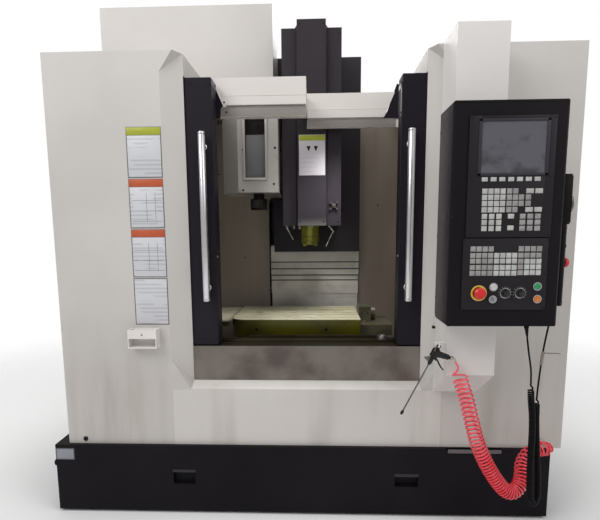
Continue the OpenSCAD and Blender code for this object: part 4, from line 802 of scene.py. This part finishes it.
def jet(work, x, z, lean):
    way = Vector((-math.sin(math.radians(lean)), 0, -math.cos(math.radians(lean))))
    work.turned(Vector((x, jet_row, z)) - way * 6.5, way,
                [(0, 0), (3.4, 0.8), (5.6, 3), (6.5, 6.5), (5.9, 9.4), (4.4, 11.6), (3.8, 13), (3.6, 18),
                 (3.2, 19), (2.9, 72), (3.4, 73), (3.4, 77), (2.8, 78.5)], 0, 24)


for x, foot in ((-138, 1340), (-98, 1334), (-66, 1334)):
    jets.turned((x, jet_row, 1352), downwards,
                [(8.4, 0), (8.4, 5), (6, 6), (6, 1350 - foot), (5, 1352 - foot)],
                0, 6 if foot == 1334 else 24)
jet(jets, -138, 1340, -28)
jets.turned((98, jet_row, 1351), elbow, [(7, 0), (7, 4), (4.5, 6), (4.5, 38), (0, 39)], 0, 24)
jets.turned((119.3, jet_row, 1325.6), elbow,
            [(0, 0), (4, 0.6), (6.4, 3.4), (6.6, 6.6), (5.6, 10), (3, 12.4), (0, 13)], 0, 24)
jets.turned((123.7, jet_row, 1320.4), (-0.574, 0, -0.819), [(4.5, 0), (4.5, 21), (0, 22)], 0, 24)
jet(jets, 111, 1302.5, 24)
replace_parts(jets.piece("coolant_jets", "head", [jet_steel], "chrome"), "coolant_nozzles")


# Tool magazine, changer arm and the drive on top of the column: turned steel parts, a black
# finned servo motor with its encoder cap.
dress(brushed("magazine_disc_steel", (176, 176, 178), (126, 126, 128), 0.3, 0, 0.3), "magazine_disc")
dress(dark_paint("changer_arm_paint", (28, 26, 25), (58, 54, 50), 0.4), "atc_arm")
dress(dark_paint("motor_black", (24, 24, 26), (58, 56, 54), 0.3), "z_motor")
motor_cap = Finish("encoder_cap_red", (176, 34, 34), 0.4, cloud=(12, 3, (140, 24, 24)), grain=(300, 0.1))
drive_parts = Work()
motor_x, motor_y = 12, 1325
drive_parts.turned((motor_x, motor_y, 2513), upwards, [(50, 0), (50, 40), (47, 49), (44, 52)], 0, 48)
screws(drive_parts, (motor_x - 82, motor_x + 82), (motor_y - 82, motor_y + 82), [2318], upwards, 16, 1)
drive_parts.piece("drive_parts", "frame", [motor_cap, black_oxide], "black_plastic")


# Coolant tank: a welded steel tank under the front, in the doors' paint. It carries a small
# blank plate, and worn lips frame the two slots in its front. The pump is hidden behind it.
tank_paint = dark_paint("tank_violet_black", (14, 12, 16), (46, 42, 46), 0.2, 0.08)
dress(tank_paint, "coolant_tank")
dress(dark_paint("pump_green", (36, 74, 58), (64, 100, 82), 0.3), "coolant_pump")
tank_parts = Work()
plate(tank_parts, (-1198, -1110), (-21.4, -19.8), (262, 318), 0.4, 0)
plate(tank_parts, (-1193, -1115), (-21.9, -21), (267, 313), 0.3, 1)
lip = (-21.6, -19.6)
for left, right, top in ((-642, -540, 211), (390, 496, 202)):
    plate(tank_parts, (left - 3, right + 3), lip, (top - 6, top + 8), 0.8, 4)
    plate(tank_parts, (left - 3, right + 3), lip, (142, 148), 0.8, 3)
    for x in (left - 3, right):
        plate(tank_parts, (x, x + 3), lip, (148, top), 0.8, 3)
plate(tank_parts, (628, 868), (-21.2, -19.8), (314, 332), 0.6, 5)
tank_parts.turned((-1234, 40, 220), rightwards, [(11, -5), (15, -2), (17, 2), (17, 18), (14, 20)], 2, 20)
tank_label = Finish("tank_plate_grey", (124, 126, 136), 0.4, cloud=(16, 3, (146, 148, 158)),
                    grain=(60, 0.08))
tank_lip = dark_paint("worn_tank_lip", (44, 41, 45), (66, 62, 66), 0.3, 0.2)
tank_gap = dark_paint("grey_tank_liner", (96, 91, 92), (116, 110, 110), 0.3, 0.2)
tank_parts.piece("tank_parts", "frame",
                 [card_edge, tank_label, black_oxide, tank_paint, tank_lip, tank_gap], "navy")


# Operator panel: a folded steel housing in black paint on two hinges of the pillar. Two plastic
# key units are let into its front, the upper one with a screen behind glass.
housing_paint = dark_paint("panel_black_paint", (16, 14, 16), (42, 39, 42), 0.15, 0.1)
# The housing's left side is painted lighter towards the back, as painted light.
housing_side = 1 - housing_paint.across(0).between(0.545, 0.55)
housing_side_painted_light = housing_side * housing_paint.across(1).between(-1.3, -1.06)
housing_black = (housing_paint.mottle(2.2, 3) * 0.35).tint((19, 17, 19), (44, 40, 44))
housing_paint.tone(housing_side_painted_light.tint(housing_black, (110, 102, 105)))
dress(housing_paint, "panel_housing", "mpg_body")
unit_plastic = dark_paint("key_unit_plastic", (34, 31, 34), (58, 54, 57), 0.15)
key_light = Finish("light_key_caps", (190, 192, 189), 0.42, cloud=(30, 4, (168, 168, 164), 0.35, 0.7),
                   grain=(900, 0.12, 2, 0.0004))
key_grey = Finish("grey_key_caps", (156, 153, 153), 0.42, cloud=(30, 4, (136, 133, 131), 0.35, 0.7),
                  grain=(900, 0.12, 2, 0.0004))
panel_front, key_front = -400, -406


def key_field(work, x, z, columns, rows, finish, gap=2, cap=19):
    """A field of key caps with rounded edges and a slight slope on their sides."""
    across, high = (x[1] - x[0]) / columns, (z[1] - z[0]) / rows
    for i in range(columns):
        for j in range(rows):
            middle_x, middle_z = x[0] + (i + 0.5) * across, z[0] + (j + 0.5) * high
            part = block()
            for vert in part.verts:
                taper = 0.9 if vert.co.y < 0 else 1
                vert.co = (middle_x + vert.co.x * (min(cap, across - gap) * taper),
                           key_front - 1.2 + vert.co.y * 3.2,
                           middle_z + vert.co.z * (min(cap, high - gap) * taper))
            rounded(part, 0.8)
            work.add(part, finish)


mdi = Work()
border(mdi, (555, 594, 816, 846), (key_front, panel_front), (1294, 1510, 1685, 1702), 0.4)
border(mdi, (586, 597, 813, 824), (key_front - 2.4, key_front + 1), (1503, 1512, 1683, 1692), 1.1, 4, True)
for field in (((597, 805), (1482, 1501), 7, 1, 1, 4, 21), ((604, 686), (1378, 1462), 4, 4, 1),
              ((688, 749), (1399, 1441), 3, 2, 2), ((688, 729), (1378, 1399), 2, 1, 2),
              ((688, 729), (1441, 1462), 2, 1, 2), ((752, 773), (1399, 1441), 1, 2, 2),
              ((752, 813), (1441, 1462), 2, 1, 1, 4, 27), ((752, 813), (1378, 1399), 2, 1, 1, 4, 27),
              ((604, 678), (1314, 1376), 3, 3, 1), ((694, 720), (1356, 1376), 1, 1, 1, 3, 22),
              ((694, 720), (1316, 1336), 1, 1, 1, 3, 22), ((734, 811), (1314, 1376), 3, 3, 2, 3, 20)):
    key_field(mdi, *field)
screws(mdi, (562, 839), [key_front], (1301, 1498, 1695), frontwards, 5, 3)
screen_frame = dark_paint("screen_frame_grey", (54, 51, 57), (76, 72, 79), 0.2)
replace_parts(mdi.piece("key_unit_upper", "panel",
                      [unit_plastic, key_light, key_grey, black_oxide, screen_frame], "keys"), "mdi_keys")
lower = Work()
plate(lower, (548, 842), (key_front, panel_front), (1038, 1290), 1.5)
for field in (((572, 655), (1242, 1265), 4, 1, 2), ((738, 821), (1242, 1265), 4, 1, 2),
              ((572, 654), (1201, 1241), 4, 2, 2), ((655, 737), (1201, 1241), 4, 2, 1),
              ((738, 820), (1221, 1241), 4, 1, 2), ((738, 759), (1160, 1220), 1, 3, 2),
              ((760, 821), (1160, 1220), 3, 3, 1), ((572, 654), (1158, 1199), 4, 2, 2),
              ((655, 737), (1158, 1199), 4, 2, 1)):
    key_field(lower, *field)
screws(lower, (554, 836), [key_front], (1044, 1164, 1284), frontwards, 5, 3)
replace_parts(lower.piece("key_unit_lower", "panel", [unit_plastic, key_light, key_grey, black_oxide],
                        "keys"), "operator_keys")

screen_glass = Finish("screen_glass", (70, 69, 76), 0.12, Coat_Weight=0.6, Coat_Roughness=0.05)
# The screen's lighter and darker blotches are painted reflections; the same patches make the glass rougher
# where smeared.
smear = screen_glass.patches(0.42, 0.68, 14, 4)
screen_glass.tone(smear.tint((86, 85, 93), (40, 38, 44)))
screen_glass.give("Roughness", smear * 0.25 + 0.1)
dress(screen_glass, "panel_screen")
chrome = Finish("satin_chrome", (196, 196, 198), (70, 3, 0.15, 0.12), 1.0, grain=(900, 0.04))
dress(chrome, "panel_bezels", "key_switch")


def button_plastic(name, colour, deep):
    return Finish(name, colour, (120, 3, 0.2, 0.22), cloud=(40, 4, deep, 0.4, 0.75), Coat_Weight=0.2)


stop_red = button_plastic("stop_button_red", (214, 34, 34), (176, 22, 24))
stop_yellow = button_plastic("stop_ring_yellow", (228, 190, 40), (200, 164, 34))
lamp_green = button_plastic("button_green", (40, 150, 92), (28, 120, 72))
lamp_orange = button_plastic("button_orange", (214, 118, 36), (182, 92, 28))
lamp_white = button_plastic("button_white", (214, 214, 212), (190, 190, 186))
knob_black = button_plastic("knob_black", (26, 26, 28), (44, 44, 46))
dress(stop_red, "estop_button")
dress(lamp_green, "green_button")
dress(lamp_orange, "orange_button")
dress(lamp_white, "white_button")
dress(knob_black, "dial_left", "dial_right")
panel_marks = Work()
dial_row = 1098
panel_marks.turned((607, -410.6, dial_row), frontwards,
                   [(21.6, 0), (27.6, 0), (27.6, 0.5), (27, 0.9), (22.2, 0.9), (21.6, 0.5), (21.6, 0)],
                   0, 48)
for x in (700, 752):
    for k in range(11):
        turn = math.radians(-135 + 27 * k)
        for r in (21.5, 23.5):
            place = (x + r * math.sin(turn), key_front + 0.1, dial_row + r * math.cos(turn))
            panel_marks.turned(place, frontwards, [(0.9, 0), (0.9, 0.3)], 1, 8)
panel_marks.piece("panel_marks", "panel", [stop_yellow, key_grey], "keys")

panel_parts = Work()
screws(panel_parts, (508, 882), [panel_front], (990, 1365, 1741), frontwards, 7)
for low in (1746, 981):
    plate(panel_parts, (504, 886), (panel_front - 1.2, panel_front + 0.4), (low, low + 4), 0.4, 1)
screws(panel_parts, [500], [-230], (1060, 1300, 1680), (-1, 0, 0), 7)
panel_parts.turned((814, -330, 977.4), downwards,
                   [(13.5, 0), (13.5, 3), (12.5, 3.4), (12.5, 11), (9, 12.2)], 0, 6)
panel_parts.piece("panel_parts", "panel", [black_oxide, housing_paint], "black_metal")


# Hand unit: a long plastic case on two brackets, with a knurled hand wheel, a stop button and two
# rotary knobs on its right side. Their ends show from the front as small red and white shapes.
dress(Finish("hand_wheel_resin", (36, 36, 38), (90, 3, 0.2, 0.22), cloud=(22, 3, (66, 64, 62))),
      "mpg_wheel")
unit_parts = Work()
unit_y = -321
unit_parts.turned((929.4, unit_y, 1199), rightwards,
                  [(11, 0), (11, 8), (16, 9), (17.4, 12), (17.4, 17), (15.6, 21), (12, 24), (7, 25)], 0, 40)
unit_parts.turned((924.2, unit_y, 1166), rightwards, [(7, 0), (7, 9), (5.6, 11), (0, 11.6)], 1, 28)
for z in (1260, 1100):
    unit_parts.turned((926.4, unit_y, z), rightwards,
                      [(11.3, 0), (14.4, 0), (14.4, 3.4), (13, 4.4), (11.3, 4.4), (11.3, 0)], 1, 28)
    unit_parts.turned((937, unit_y, z), rightwards, [(11.4, 0), (11.4, 1), (10, 2.6), (0, 2.8)],
                      1 if z == 1100 else 3, 28)
unit_parts.turned((935, unit_y, 1410), rightwards,
                  [(37.6, 0), (42, 0), (42, 1.6), (40, 2.6), (38, 2.6), (37.6, 0)], 2, 56)
for z, x in ((1056, 924.2), (1326, 924.2), (1350, 932.2), (1500, 932.2)):
    screws(unit_parts, [x], (unit_y - 33, unit_y + 33), [z], rightwards, 6, 3)
plate(unit_parts, (900, 931), (-366, -364.6), (1344, 1506), 0.8, 4)
unit_parts.piece("hand_unit_parts", "panel",
                 [stop_red, lamp_white, bracket_steel, black_oxide, housing_paint], "black_plastic")


# Air gun: a black plastic body with a tapered grip, a long thin nozzle and a grey chip fin, hung
# by its eye on the pillar's bent rod. Its lever is pressed against the grip.
gun_plastic = button_plastic("gun_plastic", (12, 12, 13), (26, 26, 28))
gun_plastic.give("Specular IOR Level", 0.3)
gun_plastic.grained(400, 0.25, 3, 0.0005)
tube_steel = brushed("gun_nozzle_tube", (120, 118, 118), (74, 72, 72), 0.25, 2, 0.3)
fin_plastic = button_plastic("gun_fin_plastic", (112, 106, 96), (90, 84, 76))
turn = math.radians(26.8)
lean, beside = Vector((math.sin(turn), 0, math.cos(turn))), Vector((math.cos(turn), 0, -math.sin(turn)))
valve = Vector((502, -250, 845))
gun = Work()
for far, shape, finish, sides in (
        (22.2, [(13, 0), (15.6, 1.6), (16.2, 4), (16.2, 11), (15.3, 12), (15.3, 14), (16.2, 15), (16.2, 30),
                (14.6, 34), (10, 38), (5, 39), (0, 39.2)], 0, 40),
        (58.4, [(3.4, 0), (4.6, 1), (7.6, 7), (8.2, 9), (8.2, 20), (7.4, 21), (7.4, 23), (8.2, 24),
                (8.8, 38)], 0, 32),
        (272, [(3, 0), (3, 211), (4.4, 213), (4.4, 217)], 2, 20),
        (290, [(2.4, 0), (5.2, 2), (5.7, 5), (5.7, 16), (4.4, 19), (3, 20)], 0, 20)):
    gun.turned(valve - lean * far, lean, shape, finish, sides)
eye = valve + lean * 24 + Vector((0, 4.2, 0))
gun.turned(eye, frontwards, [(4.8, 0), (7.8, 0), (8.7, 1), (8.7, 7.4), (7.8, 8.4), (4.8, 8.4), (4.6, 7),
                             (4.6, 1.4), (4.8, 0)], 0, 36)
gun.turned(valve + lean * 13, lean, [(6.5, 0), (4.6, 3)], 0, 24)
for x, z in ((-8, -4), (9, -12)):
    screw(gun, valve + beside * x + lean * z + Vector((0, -14, 0)), frontwards, 6, 1)
for side in (-1, 1):
    gun.turned(valve + beside * 12.4 - lean * 25.4 + Vector((0, side * 7.4, 0)), (0, side, 0),
               [(5.4, 0), (5.4, 1.8), (4.8, 2.5)], 0, 24)

grip_root, grip_slope = valve + Vector((2, 0, -7)), math.radians(17.4)
grip_way = Vector((math.cos(grip_slope), 0, -math.sin(grip_slope)))
grip_up = Vector((-grip_way.z, 0, grip_way.x))
grip = block(2)
bmesh.ops.subdivide_edges(grip, edges=grip.edges[:], cuts=9, use_grid_fill=True)
for vert in grip.verts:
    x, y, z = vert.co
    rounder = 1 / max(1, math.hypot(x, y)) ** 0.8
    finger = 0.9 * math.sin(z * 8) if x < 0 else 0
    high, wide = 12.4 - 1.5 * z + finger, 11 - 1.2 * z
    vert.co = grip_root + grip_way * (27 + z * 23) + grip_up * x * high * rounder
    vert.co.y += y * wide * rounder
bmesh.ops.smooth_vert(grip, verts=grip.verts[:], factor=0.3, use_axis_x=True, use_axis_y=True,
                      use_axis_z=True)
gun.add(grip, 0)
gun.turned(grip_root + grip_way * 48, grip_way, [(8.3, 0), (8.3, 9), (7.4, 10)], 1, 6)

outline = [valve + beside * x + lean * z for x, z in ((-3, -17), (-32, -39), (-30, -42), (-3, -49))]
fin = cut_sheet([(corner.x, corner.z) for corner in outline], (valve.y - 1.5, valve.y + 1.5))
rounded(fin, 0.5)
gun.add(fin, 3)
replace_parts(gun.piece("air_gun", "frame", [gun_plastic, black_oxide, tube_steel, fin_plastic],
                      "black_plastic"), "gun_body")

lever_root, lever_slope = valve + beside * 13 - lean * 25.3, math.radians(34.7)
lever_way = Vector((math.sin(lever_slope), 0, -math.cos(lever_slope)))
lever_up = Vector((-lever_way.z, 0, lever_way.x))
lever = block(2)
bmesh.ops.subdivide_edges(lever, edges=lever.edges[:], cuts=7, use_grid_fill=True)
for vert in lever.verts:
    x, y, z = vert.co
    bend = 1.8 * math.sin(z * 2.4) - 1.2 * z * z
    narrow = 6.8 - 1.2 * max(0, z) ** 4
    vert.co = lever_root + lever_way * (27 + z * 26.8) + lever_up * (x * 1.9 - bend)
    vert.co.y += y * narrow
sharp = [edge for edge in lever.edges if edge.calc_face_angle(0) > 0.9]
rounded(lever, 0.6, sharp)
trigger = Work()
trigger.add(lever, 0)
trigger.turned(lever_root + Vector((0, 7, 0)), frontwards, [(2.6, 0), (3, 0.4), (3, 13.6), (2.6, 14)],
               1, 20)
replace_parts(trigger.piece("air_gun_lever", "lever", [gun_plastic, black_oxide], "black_plastic"),
            "gun_lever")


# Rear cabinet: the control's steel cabinet in the enclosure's coat, with a hinged door, a main
# switch, fan outlets behind grilles and a cooling unit on its roof.
cabinet_coat = powder_coat("cabinet_coat", (198, 195, 190), (182, 178, 172), 0.4)
dress(cabinet_coat, "rear_cabinet", "cabinet_door")
back = Work()
plate(back, (-822, -38), (2118, 2120), (412, 1888), 1, 0)
screws(back, [-800], [2120], (600, 1150, 1700), backwards, 8, 1)
plate(back, (470, 600), (2100, 2103), (1010, 1140), 1.5, 2)
back.turned((535, 2103, 1075), backwards, [(36, 0), (36, 5), (33, 8)], 3, 48)
plate(back, (527, 543), (2110, 2123), (1043, 1107), 3, 3)
fan_z, cabinet_back = 640, 2100
for x in (330, 560):
    back.turned((x, cabinet_back, fan_z), backwards, [(78, 0), (78, 4), (74, 6), (70, 6), (70, 2)], 1, 48)
    for r in (16, 32, 48, 62):
        back.turned((x, cabinet_back + 1, fan_z), backwards,
                    [(r - 1.6, 0), (r - 1.6, 5), (r + 1.6, 5), (r + 1.6, 0), (r - 1.6, 0)], 4, 40)
    screws(back, (x - 66, x + 66), [cabinet_back], (fan_z - 66, fan_z + 66), backwards, 7, 5)
for k in range(5):
    plate(back, (260, 660), (2044, 2048), (1962 + k * 15, 1969 + k * 15), 1, 1)
back.piece("cabinet_fittings", "frame",
           [cabinet_coat, black_oxide, stop_yellow, stop_red, bracket_steel, bright_screw], "cover_white")


# Studio: a plain pale floor that fades into a white surround, four large soft lamps and a small
# one in the cabin. The surround is white to the camera and a weaker grey to what it lights.
floor_paint = Finish("studio_floor", (236, 236, 236), 0.85, Specular_IOR_Level=0.2)
away = floor_paint.node("ShaderNodeVectorMath", {"operation": "LENGTH"}, {0: floor_paint.place}, 1)
floor_paint.give("Alpha", 1 - away.between(2.4, 4.6))
floor = bmesh.new()
bmesh.ops.create_circle(floor, cap_ends=True, segments=96, radius=4.7)
floor_mesh = bpy.data.meshes.new("floor")
floor.to_mesh(floor_mesh)
floor.free()
floor_mesh.materials.append(floor_paint.material)
floor = placed("floor", floor_mesh)

surround = bpy.data.worlds.new("surround")
bpy.context.scene.world = surround
surround.use_nodes = True
tree = surround.node_tree
to_camera = tree.nodes.new("ShaderNodeLightPath")
strength = tree.nodes.new("ShaderNodeMapRange")
on_surfaces, to_the_eye = 0.49, 1
strength.inputs["To Min"].default_value = on_surfaces
strength.inputs["To Max"].default_value = to_the_eye
tree.links.new(to_camera.outputs["Is Camera Ray"], strength.inputs["Value"])
tree.links.new(strength.outputs[0], tree.nodes["Background"].inputs["Strength"])
tree.nodes["Background"].inputs["Color"].default_value = (1, 1, 1, 1)

for name, place, aim, size, watts, spread in (
        ("key_lamp", (-2700, -2900, 4300), (-200, 200, 1200), 2.8, 90, 180),
        ("fill_lamp", (3200, -2700, 3700), (200, 200, 1300), 2.8, 42, 180),
        ("back_lamp", (300, 4600, 4200), (0, 1300, 1100), 3.0, 100, 180),
        ("top_lamp", (0, 300, 5400), (0, 700, 900), 2.6, 115, 180),
        ("cabin_lamp", (240, 300, 1780), (-120, 660, 850), 0.25, 1.25, 75)):
    lamp = bpy.data.lights.new(name, "AREA")
    lamp.shape, lamp.size, lamp.energy, lamp.spread = "DISK", size, watts, math.radians(spread)
    made = placed(name, lamp)
    made.location = spot(*place)
    made.rotation_euler = (spot(*place) - spot(*aim)).to_track_quat("Z", "Y").to_euler()
